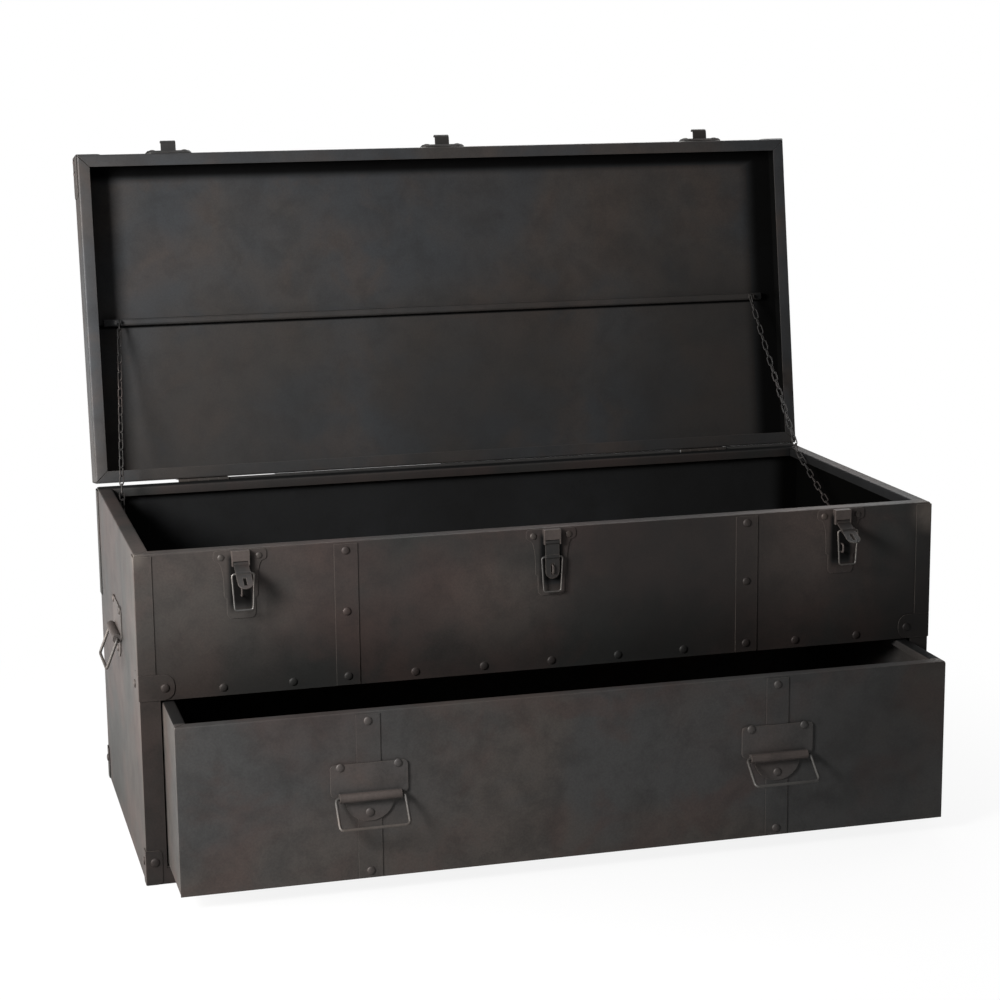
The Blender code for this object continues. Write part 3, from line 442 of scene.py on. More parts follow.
def case_shade(place):
    """Painted shade: black inside the upper compartment and darker low on the front, with the back and right rims
    darker too.
    """
    across = place.axis("X")
    depth = place.axis("Y")
    height = place.axis("Z")
    right_end = across.between(*RIGHT_END)
    up = facing(place, "Z").between(*LOOKS_UP)
    lip = LIP_SHADE + right_end * LIP_SHADE
    inside = inward(place, COMPARTMENT_MIDDLE) * lip.most(height.between(*BELOW_RIM))
    inside = inside * across.size().between(*END_SKIN) * depth.size().between(*FRONT_SKIN)
    inside = inside * (INSIDE_SHADE + right_end * RIGHT_END_MORE)
    front = facing(place, "Y").between(*LOOKS_FORWARD)
    low = height.between(*LOW_FRONT) * depth.between(*BEHIND_DRAWER_FRONT) * front
    back_rim = depth.between(*BACK_RIM) * up
    rim = (back_rim * BACK_RIM_DARK).most(right_end * up * RIGHT_RIM_DARK)
    return inside.most(low * LOW_FRONT_SHADE).most(rim)


print("Soot inside the case from", BELOW_RIM[0], "m down")

# %% [markdown]
# ## Painted shade in the lid
# Ledges run round the inside of the lid. The folds behind them are black,
# and so is a line under the cross bar.
# The solids shade these folds a little by themselves. The real folds are darker still,
# so painted shade fills them as matt black, measured from the hinge along the open lid.

# %% Painted shade in the lid
FRONT_FOLD = (0.441, 0.457)
END_FOLD = (0.492, 0.524)
FOLD_DEPTH = (0.004, 0.020)
BAR_NEAR = (0.2280, 0.2310)
BAR_FAR = (0.2365, 0.2335)
BAR_DEPTH = (0.050, 0.055)
LID_SHADE_SHARE = 0.92
lid_turn = Matrix.Rotation(math.radians(joints["lid"]["range_deg"][0]), 4, "X")
lid_open = Matrix.Translation(pivots["lid"]) @ lid_turn @ Matrix.Translation(-pivots["lid"])
LID_MIDDLE = lid_open @ Vector((0, 0, 0.47))


def lid_shade(place):
    """Painted shade: black in the folds behind the lid's ledges, at its front and its right end, and under the
    cross bar.
    """
    from_hinge = place.vector("SUBTRACT", pivots["lid"])
    depth = from_hinge.vector("DOT_PRODUCT", lid_turn @ Vector((0, 0, 1)), "Value")
    reach = from_hinge.vector("DOT_PRODUCT", lid_turn @ Vector((0, -1, 0)), "Value")
    fold = reach.between(*FRONT_FOLD).most(place.axis("X").between(*END_FOLD))
    under_bar = reach.between(*BAR_NEAR) * reach.between(*BAR_FAR) * depth.between(*BAR_DEPTH)
    return (fold * depth.between(*FOLD_DEPTH)).most(under_bar) * inward(place, LID_MIDDLE) * LID_SHADE_SHARE


print("The lid stands open at", round(abs(joints["lid"]["range_deg"][0]), 1), "degrees")

# %% [markdown]
# ## Darker latch plates and drawer ledges
# The plate of each latch is darker where its lever works, and the drawer is darker on its ledges and floor.
# Both could be blots like the smoke, but they end at an edge of a piece,
# so they are cut from the coordinates instead.

# %% Darker latches and drawer
LATCH_X = 0.4145
LATCH_DARK_HALF = (0.019, 0.011)
LATCH_DARK_FOOT = (0.352, 0.372)
LATCH_DARK_HEAD = (0.436, 0.426)
PLATE_DEPTH = (-0.2445, -0.2430)
LATCH_DARK_SHARE = 0.85
INSIDE_DRAWER = (-0.342, -0.336)
DRAWER_DARK_SHARE = 0.65


def latch_shade(place):
    """Darker on the plate of each latch, where the lever works."""
    side = place.axis("X").size()
    off_middle = side.least((side - LATCH_X).size())
    height = place.axis("Z")
    upright = height.between(*LATCH_DARK_FOOT) * height.between(*LATCH_DARK_HEAD)
    darker_middle = off_middle.between(*LATCH_DARK_HALF) * upright
    return darker_middle * place.axis("Y").between(*PLATE_DEPTH) * LATCH_DARK_SHARE


def drawer_shade(place):
    """Darker on the ledges and the floor of the drawer."""
    up = facing(place, "Z").between(*LOOKS_UP)
    return up * place.axis("Y").between(*INSIDE_DRAWER) * DRAWER_DARK_SHARE


print("Grease on the latches at 0 and", LATCH_X, "m")

# %% [markdown]
# ## One recipe for all the steel
# Sheet, fittings and wire were blackened alike, and differ in colour, polish and wear.
# A material could be wired for each. One function with the differences as its arguments
# keeps them a family.
# Clouds, stains and patches colour the ground, fine mottling and grain roughen it,
# and a matt black that mirrors nothing goes over the steel, as painted shade in the case and the lid.

# %% Clouds and grain
CLOUDS = {"scale": 3.8, "detail": 2, "roughness": 0.45, "distortion": 0.6}
STAINS = {"scale": 4.6, "detail": 3, "roughness": 0.5, "distortion": 0.8}
PATCHES = {"scale": 11, "detail": 6, "roughness": 0.62, "distortion": 0.5}
MOTTLE = {"scale": 24, "detail": 5, "roughness": 0.6, "distortion": 0.3}
GRAIN = {"scale": 380, "detail": 2, "roughness": 0.6}
BUCKLE = {"scale": 4.0, "detail": 1, "roughness": 0.4}
STAINS_FROM = (3.1, 1.7, 0.4)
PATCHES_FROM = (0.7, 2.3, 5.2)
CLOUD_EDGE = (0.40, 0.60)
STAIN_EDGE = (0.50, 0.72)
RED_EDGE = (0.48, 0.66)
COOL_EDGE = (0.47, 0.33)
STAIN_SHARE = 0.6
PATCH_SHARE = 0.55


def clouded(place, clouds, brown, rust, cool):
    """A brown ground with cool clouds, red stains, and small patches of both."""
    stains = place.vector("ADD", STAINS_FROM).noise(**STAINS)
    patches = place.vector("ADD", PATCHES_FROM).noise(**PATCHES)
    colour = clouds.between(*CLOUD_EDGE).tint(brown, cool)
    colour = (stains.between(*STAIN_EDGE) * STAIN_SHARE).tint(colour, rust)
    colour = (patches.between(*RED_EDGE) * PATCH_SHARE).tint(colour, rust)
    return (patches.between(*COOL_EDGE) * PATCH_SHARE).tint(colour, cool)


def rolled_sheet(place, grain):
    """The normal of sheet that buckles a little and has a fine grain."""
    sheet = place.node("ShaderNodeBump", None, {
        "Strength": 0.20, "Distance": 0.004, "Height": place.noise(**BUCKLE)})
    return place.node("ShaderNodeBump", None, {
        "Strength": 0.12, "Distance": 0.0005, "Height": grain, "Normal": sheet})


def blacken(place, shader, share):
    """Lays matt black over a share of the steel: painted shade in the case and the lid, darker places on the
    latches and in the drawer.
    """
    matt = place.node("ShaderNodeBsdfPrincipled", None, {
        "Base Color": MATT_BLACK, "Roughness": 1.0, "Specular IOR Level": 0.0})
    steel = Signal(place.tree, shader.outputs[0])
    matt_over = place.node("ShaderNodeMixShader", None, {0: share, 1: steel, 2: matt})
    matt_over.feed(place.tree.nodes["Material Output"], "Surface")


print("Clouds", CLOUDS["scale"], "to the metre, and grain", GRAIN["scale"])

# %% [markdown]
# ## Wear, painted light and painted shade over the ground
# Over the clouded ground come the pale places, which are painted light, the smoky places, which are partly painted
# shade, a fine smoke, and last the rubbed edges, which are partly painted highlight.
# They could be layers of shaders. As shares of one colour they stay cheap,
# and rubbed metal can also be smoother where it is brighter.

# %% Smoked steel
DARKENED_TINT_EDGE = (0.43, 0.54)
WANDER = 1.4
SMOKE_EDGE = (0.36, 0.74)
SMOKE_SHARE = 0.36
GRAIN_EDGE = (0.30, 0.70)
GRAIN_SHARE = 0.18
SCUFF_EDGE = (0.30, 0.62)
EDGE_LEAST = 0.35
SPOT_LEAST = 0.4
MOTTLE_ROUGHER = 0.12
GRAIN_ROUGHER = 0.05
RUB_SMOOTHER = 0.10


def smoked_steel(name, brown=BROWN, rust=RUST, cool=COOL, bare=BARE_AND_HIGHLIGHT, roughness=0.46,
                 rub_and_highlight=0.45, metal=0.4, lit_and_worn_spots=False, shade=None, pale_depths=None):
    """Blackened steel with brown, red and cool clouds, fine mottling, and rubbed edges that are partly painted
    highlight.
    Shade is a function that gives the places laid over with matt black, painted shade in the case and the lid,
    and the last argument the depths over which it turns paler."""
    material, shader, place = new_finish(name)
    clouds = place.noise(**CLOUDS)
    mottle = place.noise(**MOTTLE)
    grain = place.noise(**GRAIN)
    colour = clouded(place, clouds, brown, rust, cool)
    if shade:
        darkened = shade(place)
        colour = darkened.between(*DARKENED_TINT_EDGE).tint(colour, DARKENED_TINT)
        blacken(place, shader, darkened)
    wander = (clouds - 0.5) * WANDER
    if lit_and_worn_spots:
        colour = soft_spots(place, PAINTED_LIGHT_SPOTS, wander).tint(colour, PAINTED_LIGHT_TONE)
    colour = soft_spots(place, SMOKE_AND_SHADE_SPOTS, wander).tint(colour, SOOT_AND_SHADE)
    if pale_depths:
        colour = place.axis("Y").between(*pale_depths).tint(colour, PROUD_PALE)
    smoke = mottle.between(*SMOKE_EDGE) * SMOKE_SHARE + grain.between(*GRAIN_EDGE) * GRAIN_SHARE
    colour = smoke.tint(colour, SOOT_AND_SHADE)
    scuff = mottle.between(*SCUFF_EDGE)
    wear_and_highlight = edge_wear_and_highlight(place) * (EDGE_LEAST + scuff * (1 - EDGE_LEAST)) * rub_and_highlight
    if lit_and_worn_spots:
        spots = soft_spots(place, RUBBED_SPOTS, 0.0)
        wear_and_highlight = wear_and_highlight.most(spots * (SPOT_LEAST + scuff * (1 - SPOT_LEAST)))
    wear_and_highlight.tint(colour, bare).feed(shader, "Base Color")
    shader.inputs["Metallic"].default_value = metal
    rough = roughness + mottle * MOTTLE_ROUGHER - wear_and_highlight * RUB_SMOOTHER + grain * GRAIN_ROUGHER
    rough.feed(shader, "Roughness")
    rolled_sheet(place, grain).feed(shader, "Normal")
    return material


print("Rubbed edges are at least", EDGE_LEAST, "bare")

# %% [markdown]
# ## The family of finishes
# Every slot of the packed model has its finish, and pieces that look unlike the rest of their slot
# have one of their own: the lid is cooler, the drawer greyer, the levers and keepers darker,
# and the handles paler.
# One finish for each slot would be simpler, but then the trunk would look dipped.

# %% Finishes
HOOD_DEPTH = (-0.2425, -0.2465)
BARREL_DEPTH = (-0.3630, -0.3665)
finishes = {
    "shell": smoked_steel("smoked_sheet", lit_and_worn_spots=True, shade=case_shade),
    "trim": smoked_steel("smoked_trim", rub_and_highlight=0.8, lit_and_worn_spots=True, shade=case_shade),
    "hardware": smoked_steel(
        "oiled_fittings", brown=(0.074, 0.060, 0.052, 1), rust=(0.086, 0.062, 0.051, 1),
        cool=(0.056, 0.054, 0.052, 1), roughness=0.40, rub_and_highlight=0.7),
    "wire": smoked_steel(
        "drawn_wire", brown=(0.190, 0.172, 0.155, 1), rust=(0.170, 0.142, 0.124, 1),
        cool=(0.150, 0.147, 0.142, 1), bare=(0.30, 0.28, 0.25, 1), roughness=0.34, rub_and_highlight=0.3, metal=0.7),
}
lid_sheet = smoked_steel(
    "smoked_lid_sheet", brown=(0.0525, 0.0465, 0.0430, 1), rust=(0.064, 0.049, 0.0415, 1),
    cool=(0.0405, 0.0430, 0.0465, 1), shade=lid_shade)
drawer_sheet = smoked_steel(
    "smoked_drawer_sheet", brown=(0.067, 0.058, 0.052, 1), cool=(0.054, 0.0535, 0.053, 1),
    lit_and_worn_spots=True, shade=drawer_shade)
chain_steel = smoked_steel(
    "chain_steel", brown=(0.028, 0.025, 0.023, 1), cool=(0.022, 0.0215, 0.021, 1), rub_and_highlight=0.2)
latch_steel = smoked_steel("latch_steel", rub_and_highlight=0.7, lit_and_worn_spots=True, shade=latch_shade, pale_depths=HOOD_DEPTH)
# The rod is near black and matt: painted shade that darkens the joint behind the lid.
joint_shade_rod = smoked_steel(
    "joint_shade_rod", brown=SOOT_AND_SHADE, rust=SOOT_AND_SHADE, cool=SOOT_AND_SHADE, roughness=0.85, rub_and_highlight=0.0, metal=0.0)
keeper_steel = smoked_steel(
    "keeper_steel", brown=(0.034, 0.031, 0.029, 1), cool=(0.028, 0.028, 0.0275, 1), rub_and_highlight=0.6)
handle_steel = smoked_steel(
    "handle_steel", brown=(0.082, 0.067, 0.061, 1), rust=(0.094, 0.069, 0.060, 1),
    cool=(0.066, 0.062, 0.060, 1), rub_and_highlight=0.6, pale_depths=BARREL_DEPTH)
grip_wire = smoked_steel(
    "grip_wire", brown=(0.098, 0.085, 0.076, 1), rust=(0.100, 0.078, 0.066, 1),
    cool=(0.078, 0.075, 0.071, 1), roughness=0.42, rub_and_highlight=0.3)
lever_steel = smoked_steel(
    "lever_steel", brown=(0.034, 0.031, 0.029, 1), cool=(0.029, 0.029, 0.0285, 1),
    roughness=0.44, rub_and_highlight=0.8)
print("Mixed a finish for each of", sorted(finishes), "and nine for single pieces")

# %% [markdown]
# ## Dress the solids
# A piece takes the finish of its slot, unless its name starts with one that has a finish of its own.
# Each could be listed by name, but the starts of the names cover left, right and middle at once.

# %% Dress the solids
SHEETS = {"lid_": lid_sheet, "drawer_": drawer_sheet}
FITTINGS = {"latch_base_": latch_steel, "latch_lever_": lever_steel, "lid_keeper_": keeper_steel,
            "drawer_handle_": handle_steel, "end_handle_": handle_steel}
OWN_FINISHES = {"shell": SHEETS, "trim": SHEETS, "hardware": FITTINGS}
for name, obj in nodes.items():
    finish = finishes[slot_of[name]]
    for start, own_finish in OWN_FINISHES.get(slot_of[name], {}).items():
        if name.startswith(start):
            finish = own_finish
    obj.data.materials.clear()
    obj.data.materials.append(finish)
print("Finished", len(nodes), "solids with", sorted(finishes))

# %% [markdown]
# ## Soft edges on the sheet
# Folded and sheared sheet never has a knife edge: a fine radius catches the light along every rim.
# The solids are plain facets, so each gets modifiers: Weld joins the split points,
# Bevel cuts the fine radius, a small node group shades the bends smooth,
# and Weighted Normal keeps the wide faces flat.

# %% Soften the solids
SHEET_RADIUS = 0.00035
RADIUS_STEPS = 2
RADIUS_ANGLE = math.radians(50)
SHARP_ANGLE = math.radians(38)
WELD_REACH = 0.00001


def smooth_shading():
    """A node group that shades faces smooth, and keeps edges sharp where the angle is steep."""
    tree = bpy.data.node_groups.new("smooth_shading", "GeometryNodeTree")
    tree.interface.new_socket("Geometry", in_out="INPUT", socket_type="NodeSocketGeometry")
    tree.interface.new_socket("Geometry", in_out="OUTPUT", socket_type="NodeSocketGeometry")
    entry = Signal(tree, tree.nodes.new("NodeGroupInput").outputs[0])
    leave = tree.nodes.new("NodeGroupOutput")
    angle = entry.node("GeometryNodeInputMeshEdgeAngle")
    gentle = entry.node("FunctionNodeCompare", {"data_type": "FLOAT", "operation": "LESS_EQUAL"},
                        {0: angle, 1: SHARP_ANGLE})
    faces = entry.node("GeometryNodeSetShadeSmooth", {"domain": "FACE"}, {"Geometry": entry})
    edges = entry.node("GeometryNodeSetShadeSmooth", {"domain": "EDGE"},
                       {"Geometry": faces, "Shade Smooth": gentle})
    tree.links.new(edges.socket, leave.inputs[0])
    return tree


shading = smooth_shading()
for obj in nodes.values():
    weld = obj.modifiers.new("weld", "WELD")
    weld.merge_threshold = WELD_REACH
    bevel = obj.modifiers.new("fine_radius", "BEVEL")
    bevel.width = SHEET_RADIUS
    bevel.segments = RADIUS_STEPS
    bevel.limit_method = "ANGLE"
    bevel.angle_limit = RADIUS_ANGLE
    obj.modifiers.new("smooth_shading", "NODES").node_group = shading
    flat = obj.modifiers.new("flat_faces", "WEIGHTED_NORMAL")
    flat.keep_sharp = True
print("Softened", len(nodes), "solids by", SHEET_RADIUS * 1000, "mm")

# %% [markdown]
# ## Rivets
# Domed rivets hold the straps, brackets, latches and handles, and a row runs along the case front.
# A sphere pushed into the sheet would do from afar. A turned profile gives the real low dome
# with its short upright rim, and one mesh holds all the heads that move together.

# %% Rivet heads
HEAD_SIDES = 20
HEAD_STEPS = 5
HEAD_SINK = 0.0004
HEAD_HEIGHT = 0.42
HEAD_RIM = 0.10
HEAD_SPREAD = (0.96, 1.04)
CREASE_ANGLE = math.radians(60)
random.seed(7)


def piece_from(bm, name, body, finish):
    """A piece that rides on a body, from a finished mesh."""
    bmesh.ops.recalc_face_normals(bm, faces=bm.faces)
    mesh = bpy.data.meshes.new(name)
    bm.to_mesh(mesh)
    bm.free()
    mesh.shade_smooth()
    mesh.set_sharp_from_angle(angle=CREASE_ANGLE)
    mesh.materials.append(finish)
    obj = bpy.data.objects.new(name, mesh)
    scene.collection.objects.link(obj)
    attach(obj, body)
    return obj


def join_rings(bm, rings, closed=False):
    """Skins a row of rings of points, and joins the last to the first in a closed loop."""
    following = rings[1:] + rings[:1] if closed else rings[1:]
    for low, high in zip(rings, following):
        for index in range(len(low)):
            after = (index + 1) % len(low)
            bm.faces.new((low[index], low[after], high[after], high[index]))


def add_head(bm, place, out, radius):
    """One rivet head: a rim that starts inside the sheet, then a low dome."""
    place, out = Vector(place), Vector(out)
    side = out.orthogonal().normalized()
    across = out.cross(side)
    height = HEAD_HEIGHT * radius
    rim = HEAD_RIM * radius
    profile = [(radius, -HEAD_SINK), (radius, rim)]
    for step in range(1, HEAD_STEPS):
        angle = math.pi / 2 * step / HEAD_STEPS
        profile.append((radius * math.cos(angle), rim + (height - rim) * math.sin(angle)))
    turn = random.uniform(0, math.pi)
    rings = []
    for reach, lift in profile:
        ring = []
        for index in range(HEAD_SIDES):
            angle = turn + 2 * math.pi * index / HEAD_SIDES
            spoke = side * math.cos(angle) + across * math.sin(angle)
            ring.append(bm.verts.new(place + spoke * reach + out * lift))
        rings.append(ring)
    join_rings(bm, rings)
    top = bm.verts.new(place + out * height)
    for index in range(HEAD_SIDES):
        bm.faces.new((rings[-1][index], rings[-1][(index + 1) % HEAD_SIDES], top))
    bm.faces.new(reversed(rings[0]))


def rivets(name, body, slot, heads, finish=None):
    """One piece with all the rivet heads that ride on a body."""
    bm = bmesh.new()
    for place, out, radius in heads:
        add_head(bm, place, out, radius * random.uniform(*HEAD_SPREAD))
    piece_from(bm, name, body, finish or finishes[slot])
    print(name, len(heads), "heads")


print("A rivet head has", HEAD_SIDES, "sides")

# %% [markdown]
# ## Rivets on the case
# A row runs along the front above the drawer, and more hold the straps, brackets, feet,
# latches and hinges.
# Where a strap or a plate is seen in the packed model, its own box gives the place of the rivets on it.
# The rest could be spread evenly, but the photograph has them uneven, so they are placed one by one.

# %% Rivets on the case
SHEET_HEAD = 0.0056
FITTING_HEAD = 0.0044
HINGE_HEAD = 0.0038
FRONT = (0, -1, 0)
BACK = (0, 1, 0)
ROW_Z = 0.258
ROW_X = (0.0935, 0.187, 0.350, 0.441)
STRAP_Z = (0.428, 0.347, 0.260)
BRACKET_FRONT_X, BRACKET_SIDE_Y, BRACKET_Z = 0.516, 0.207, 0.264
FOOT_FRONT_X, FOOT_SIDE_Y, FOOT_Z = 0.538, 0.229, 0.031
LATCH_RIVET_X, LATCH_RIVET_Z = 0.0245, 0.4295
HINGE_RIVET_X = (-0.026, 0.0, 0.026)


def middle(node):
    low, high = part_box(node)
    return (low + high) / 2


strap_x = middle("front_strap_right").x
latch_x = middle("latch_base_right").x
hinge_x = middle("hinge_case_leaf_right").x
wall_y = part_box("case_front")[0].y
trim_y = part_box("front_strap_right")[0].y
trim_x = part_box("corner_bracket_front_right")[1].x

case_heads = [((0, wall_y, ROW_Z), FRONT, SHEET_HEAD)]
for sign in (-1, 1):
    out = (sign, 0, 0)
    case_heads += [((sign * x, wall_y, ROW_Z), FRONT, SHEET_HEAD) for x in ROW_X]
    case_heads += [((sign * strap_x, trim_y, z), FRONT, SHEET_HEAD) for z in STRAP_Z]
    case_heads.append(((sign * BRACKET_FRONT_X, trim_y, BRACKET_Z), FRONT, SHEET_HEAD))
    case_heads.append(((sign * trim_x, -BRACKET_SIDE_Y, BRACKET_Z), out, SHEET_HEAD))
    case_heads.append(((sign * FOOT_FRONT_X, trim_y, FOOT_Z), FRONT, SHEET_HEAD))
    case_heads.append(((sign * FOOT_FRONT_X, -trim_y, FOOT_Z), BACK, SHEET_HEAD))
    foot_y = (-FOOT_SIDE_Y, FOOT_SIDE_Y)
    case_heads += [((sign * trim_x, y, FOOT_Z), out, SHEET_HEAD) for y in foot_y]
rivets("case_rivets", "case", "trim", case_heads)

fitting_heads = []
for latch in (-latch_x, 0, latch_x):
    for x in (latch - LATCH_RIVET_X, latch + LATCH_RIVET_X):
        fitting_heads.append(((x, trim_y, LATCH_RIVET_Z), FRONT, FITTING_HEAD))
leaf_z = middle("hinge_case_leaf_right").z
for hinge in (-hinge_x, hinge_x):
    fitting_heads += [((hinge + x, -trim_y, leaf_z), BACK, HINGE_HEAD) for x in HINGE_RIVET_X]
rivets("case_fitting_rivets", "case", "hardware", fitting_heads)

# %% [markdown]
# ## Rivets on the drawer and the handles
# Each handle has three rivets, two above and one on its round tab, and each drawer strap has two.
# The same three places could be typed out four times. They are measured from the pivot
# of the grip instead, so that one list serves the front and the ends.

# %% Rivets on the drawer and the handles
DRAWER_STRAP_Z = (0.233, 0.034)
HANDLE_RIVET_X = 0.0375
HANDLE_RIVET_UP = 0.039
TAB_RIVET_DOWN = 0.0228
DRAWER_PLATE_OUT = 0.0033
END_PLATE_OUT = 0.0015
drawer_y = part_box("drawer_strap_right")[0].y
plate_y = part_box("drawer_front")[0].y - DRAWER_PLATE_OUT
plate_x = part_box("case_right_side")[1].x + END_PLATE_OUT
handle_spots = [(-HANDLE_RIVET_X, HANDLE_RIVET_UP), (HANDLE_RIVET_X, HANDLE_RIVET_UP),
                (0, -TAB_RIVET_DOWN)]
drawer_heads = []
end_heads = []
for sign in (-1, 1):
    drawer_heads += [((sign * strap_x, drawer_y, z), FRONT, SHEET_HEAD) for z in DRAWER_STRAP_Z]
    for along, up in handle_spots:
        drawer_z = pivots["drawer_handle_right_grip"].z + up
        end_z = pivots["end_handle_right_grip"].z + up
        drawer_heads.append(((sign * strap_x + along, plate_y, drawer_z), FRONT, SHEET_HEAD))
        end_heads.append(((sign * plate_x, along, end_z), (sign, 0, 0), SHEET_HEAD))
rivets("drawer_rivets", "drawer", "trim", drawer_heads, handle_steel)
rivets("end_handle_rivets", "case", "hardware", end_heads, handle_steel)

# %% [markdown]
# ## Rivets on the lid
# The lid stands open, but its rivets are easier to place on the shut lid, where every wall is square.
# They could be measured again on the leaning lid. Turning each place about the hinge is less work
# and less error, so one matrix swings them all open.

# %% Rivets on the lid
LID_ROW_X = (0.0945, 0.185, 0.277, 0.348, 0.495)
LID_ROW_Z = 0.472
CAP_FRONT_X, CAP_Z = 0.531, 0.478
CAP_SIDE_Y = (0.2145, 0.2315)
KEEPER_RIVET_X, KEEPER_RIVET_Z = 0.0235, 0.4555
KEEPER_FACE_Y = -0.2435
LID_LEAF_Z = 0.4585


def swung(heads):
    """Rivet places of the shut lid, swung open about its hinge."""
    return [(lid_open @ Vector(place), lid_turn @ Vector(out), radius)
            for place, out, radius in heads]


lid_heads = []
for sign in (-1, 1):
    lid_heads += [((sign * x, wall_y, LID_ROW_Z), FRONT, SHEET_HEAD) for x in LID_ROW_X]
    lid_heads.append(((sign * CAP_FRONT_X, trim_y, CAP_Z), FRONT, SHEET_HEAD))
    lid_heads += [((sign * trim_x, -y, CAP_Z), (sign, 0, 0), FITTING_HEAD) for y in CAP_SIDE_Y]
rivets("lid_rivets", "lid", "trim", swung(lid_heads))

lid_fitting_heads = []
for latch in (-latch_x, 0, latch_x):
    for x in (latch - KEEPER_RIVET_X, latch + KEEPER_RIVET_X):
        lid_fitting_heads.append(((x, KEEPER_FACE_Y, KEEPER_RIVET_Z), FRONT, FITTING_HEAD))
for hinge in (-hinge_x, hinge_x):
    lid_fitting_heads += [((hinge + x, -trim_y, LID_LEAF_Z), BACK, HINGE_HEAD)
                          for x in HINGE_RIVET_X]
rivets("lid_fitting_rivets", "lid", "hardware", swung(lid_fitting_heads))

# %% [markdown]
# ## Bent wire
# The latches' bails and the handles' grips are round wire bent to shape,
# with short tails in their barrels. A curve with a bevel would do, but rings of points carried
# along the path give the same round wire as a mesh, and close up into chain links later.
# Each wire stands for the coarser solid of the same shape.

# %% Wire
WIRE_SIDES = 12
BEND_STEPS = 6


def bent(corners, radius):
    """A path through corner points, with each inner corner bent to a curve."""
    path = [corners[0]]
    for before, corner, after in zip(corners, corners[1:], corners[2:]):
        entry = corner + (before - corner).normalized() * radius
        leave = corner + (after - corner).normalized() * radius
        for step in range(BEND_STEPS + 1):
            share = step / BEND_STEPS
            path.append(entry.lerp(corner, share).lerp(corner.lerp(leave, share), share))
    return path + [corners[-1]]


def add_wire(bm, path, radius, closed=False, sides=WIRE_SIDES):
    """Round wire along a path. Each ring turns as little as it can from the one before."""
    count = len(path)
    turns = [2 * math.pi * side / sides for side in range(sides)]
    rings = []
    spoke = None
    for index, point in enumerate(path):
        if closed:
            along = path[(index + 1) % count] - path[index - 1]
        else:
            along = path[min(index + 1, count - 1)] - path[max(index - 1, 0)]
        along = along.normalized()
        spoke = along.orthogonal() if spoke is None else spoke - along * spoke.dot(along)
        spoke = spoke.normalized()
        across = along.cross(spoke)
        spokes = [spoke * math.cos(turn) + across * math.sin(turn) for turn in turns]
        rings.append([bm.verts.new(point + each * radius) for each in spokes])
    join_rings(bm, rings, closed)
    if not closed:
        bm.faces.new(reversed(rings[0]))
        bm.faces.new(rings[-1])


def wire_for(node, corners, bend, radius, finish):
    """A bent wire that stands for a node and rides on its body."""
    bm = bmesh.new()
    add_wire(bm, bent(corners, bend), radius)
    wire = piece_from(bm, node + "_wire", node, finish)
    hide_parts(node)


print("Wire has", WIRE_SIDES, "sides, and a bend", BEND_STEPS, "steps")

# %% [markdown]
# ## Bails and grips
# A bail is a tapered loop that hangs from its lever, and a grip a square one that hangs from its plate.
# Both are alike on their two sides, so one half is written down and mirrored.
# A grip does not hang quite straight, so the rest angle of its joint says which way is down for it.

# %% Bails and grips
BAIL_WIRE, BAIL_BEND = 0.0012, 0.004
BAIL_HALF = [(0.0065, 0), (0.0145, 0), (0.0118, 0.0475)]
GRIP_WIRE, GRIP_BEND = 0.002, 0.006
GRIP_HALF = [(0.029, 0), (0.045, 0), (0.045, 0.043)]


def loop_corners(half, pivot, along, down):
    """Corners of a symmetrical loop from one half of it, hung from its pivot."""
    left = [pivot - along * reach + down * drop for reach, drop in half]
    right = [pivot + along * reach + down * drop for reach, drop in reversed(half)]
    return left + right


ALONG_X = Vector((1, 0, 0))
ALONG_Y = Vector((0, 1, 0))
DOWN = Vector((0, 0, -1))
for side in ("left", "centre", "right"):
    bail = "latch_bail_" + side
    corners = loop_corners(BAIL_HALF, pivots[bail], ALONG_X, DOWN)
    wire_for(bail, corners, BAIL_BEND, BAIL_WIRE, finishes["wire"])
for sign, side in ((-1, "left"), (1, "right")):
    walls = (("drawer", ALONG_X, Vector(FRONT)), ("end", ALONG_Y, Vector((sign, 0, 0))))
    for kind, along, out in walls:
        grip = kind + "_handle_" + side + "_grip"
        swing = math.radians(-joints[grip]["range_deg"][0])
        drop = DOWN * math.cos(swing) + out * math.sin(swing)
        corners = loop_corners(GRIP_HALF, pivots[grip], along, drop)
        wire_for(grip, corners, GRIP_BEND, GRIP_WIRE, grip_wire)
print("Bent 3 bails and 4 grips")

# %% [markdown]
# ## Hinge rod
# In the photograph, light falls through the joint of lid and case at the left end,
# and as a fine thread just right of the left hinge.
# The rest of the joint is closed, and what closes it is not seen.
# A folded flap could do it, but a rod behind the hinge axis stays clear of the lid at every angle.
# It lies in stretches between the hinges, thinner toward the left one, and once more at the right.

# %% Hinge rod
ROD_RADIUS = 0.00275
ROD_BEHIND = Vector((0, 0.004, -0.0006))
ROD_CLEAR = 0.0003
ROD_TIP = 0.545
ROD_STEPS = [(-0.285, 0.0019), (-0.03, 0.0026)]
ROD_SIDES = 24
leaf_near, leaf_far = (corner.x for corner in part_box("hinge_case_leaf_right"))
rod_bm = bmesh.new()
stretches = [(leaf_far + ROD_CLEAR, ROD_TIP, ROD_RADIUS)]
start = ROD_CLEAR - leaf_near
for end, radius in ROD_STEPS + [(leaf_near - ROD_CLEAR, ROD_RADIUS)]:
    stretches.append((start, end, radius))
    start = end
for start, end, radius in stretches:
    rod_ends = [pivots["lid"] + ROD_BEHIND + ALONG_X * x for x in (start, end)]
    add_wire(rod_bm, rod_ends, radius, sides=ROD_SIDES)
# The rod is painted near black, as shade in the joint.
piece_from(rod_bm, "hinge_rod", "case", joint_shade_rod)
print("Hinge rod to", ROD_TIP, "m on the right")

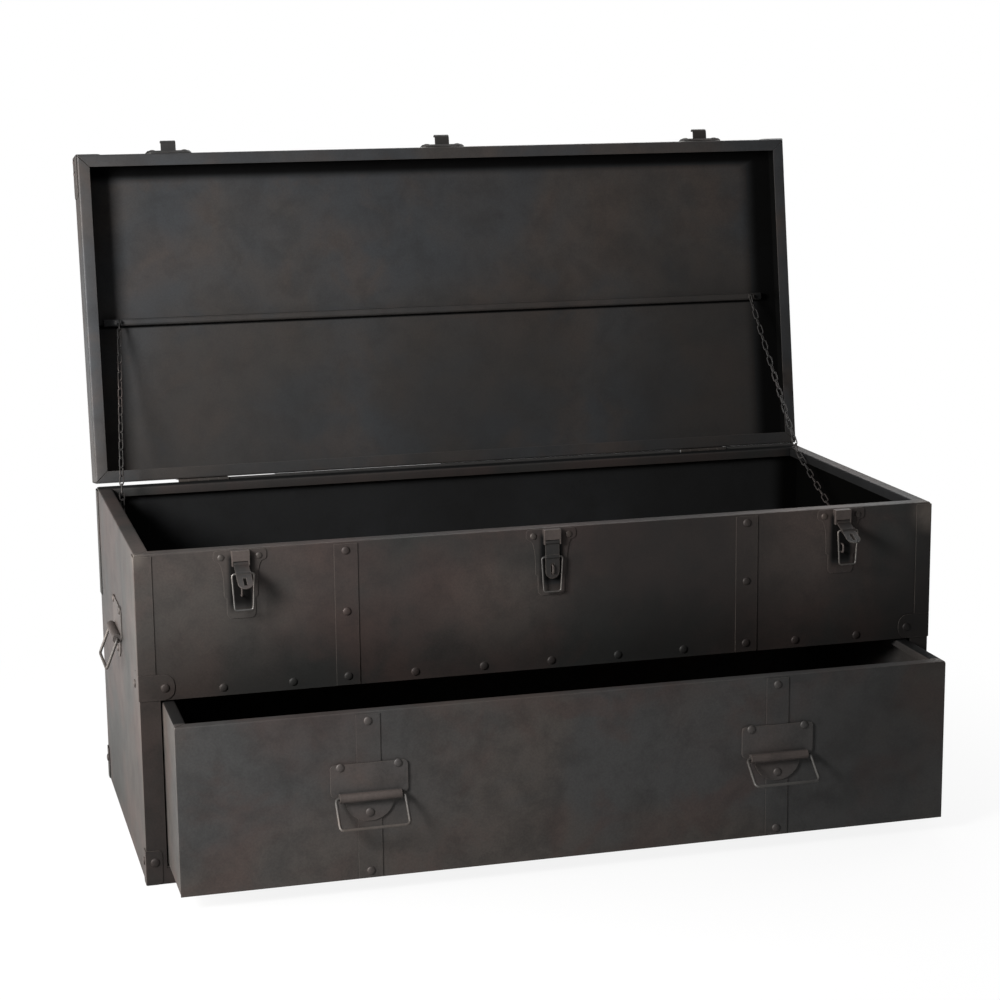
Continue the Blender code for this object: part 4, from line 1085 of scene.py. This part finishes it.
# %% [markdown]
# ## Stay chains
# Two light chains hold the lid. Each link is a closed loop of wire that hangs in the next,
# turned by a quarter from its neighbour. A texture on a tube would never pass for chain,
# so every link is modelled, at the pitch that makes the wires just touch.

# %% Chains
LINK_WIRE = 0.001
LINK_RADIUS = 0.00335
LINK_TURN = math.radians(45)
LINK_END_STEPS = 7
LINK_SIDES = 8
KNEE_CLEAR = 0.0003
CASE_PIN = (0.534, 0.0155, 0.345)
UPPER_LINKS, LOWER_LINKS = 20, 13


def link_loop(near, far, side):
    """The centre line of one link between the middles of its two round ends."""
    along = (far - near).normalized()
    path = []
    for end, start in ((far, -math.pi / 2), (near, math.pi / 2)):
        for step in range(LINK_END_STEPS):
            angle = start + math.pi * step / (LINK_END_STEPS - 1)
            path.append(end + (along * math.cos(angle) + side * math.sin(angle)) * LINK_RADIUS)
    return path


def chain_run(node, first, last, turns, count):
    """A straight run of links from one end to the other, each turned to one side or the other."""
    along = (last - first).normalized()
    lap = 2 * LINK_WIRE
    length = ((last - first).length + (count - 1) * lap) / count
    upward = along.cross(ALONG_X).normalized()
    sideward = along.cross(upward)
    bm = bmesh.new()
    for index in range(count):
        near = first + along * (index * (length - lap) + LINK_RADIUS)
        far = near + along * (length - 2 * LINK_RADIUS)
        turn = turns.get(index, LINK_TURN if index % 2 else -LINK_TURN)
        side = upward * math.cos(turn) + sideward * math.sin(turn)
        add_wire(bm, link_loop(near, far, side), LINK_WIRE, closed=True, sides=LINK_SIDES)
    chain = piece_from(bm, node + "_links", node, chain_steel)
    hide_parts(node)
    print(node, count, "links at", round(1000 * (length - lap), 1), "mm")


for sign, side in ((-1, "left"), (1, "right")):
    lid_pin = pivots["chain_upper_" + side]
    knee = pivots["chain_lower_" + side]
    case_pin = Vector((sign * CASE_PIN[0], CASE_PIN[1], CASE_PIN[2]))
    rise = (lid_pin - knee).normalized()
    hook = knee - rise * (2 * LINK_WIRE + KNEE_CLEAR)
    crown = lid_pin + rise * LINK_RADIUS
    chain_run("chain_upper_" + side, hook, crown, {0: 0.0, UPPER_LINKS - 1: 0.0}, UPPER_LINKS)
    low = case_pin - (knee - case_pin).normalized() * LINK_RADIUS
    chain_run("chain_lower_" + side, low, knee, {0: 0.0, LOWER_LINKS - 1: math.pi / 2}, LOWER_LINKS)

# %% [markdown]
# The dressed trunk has to stay inside the packed model's box.
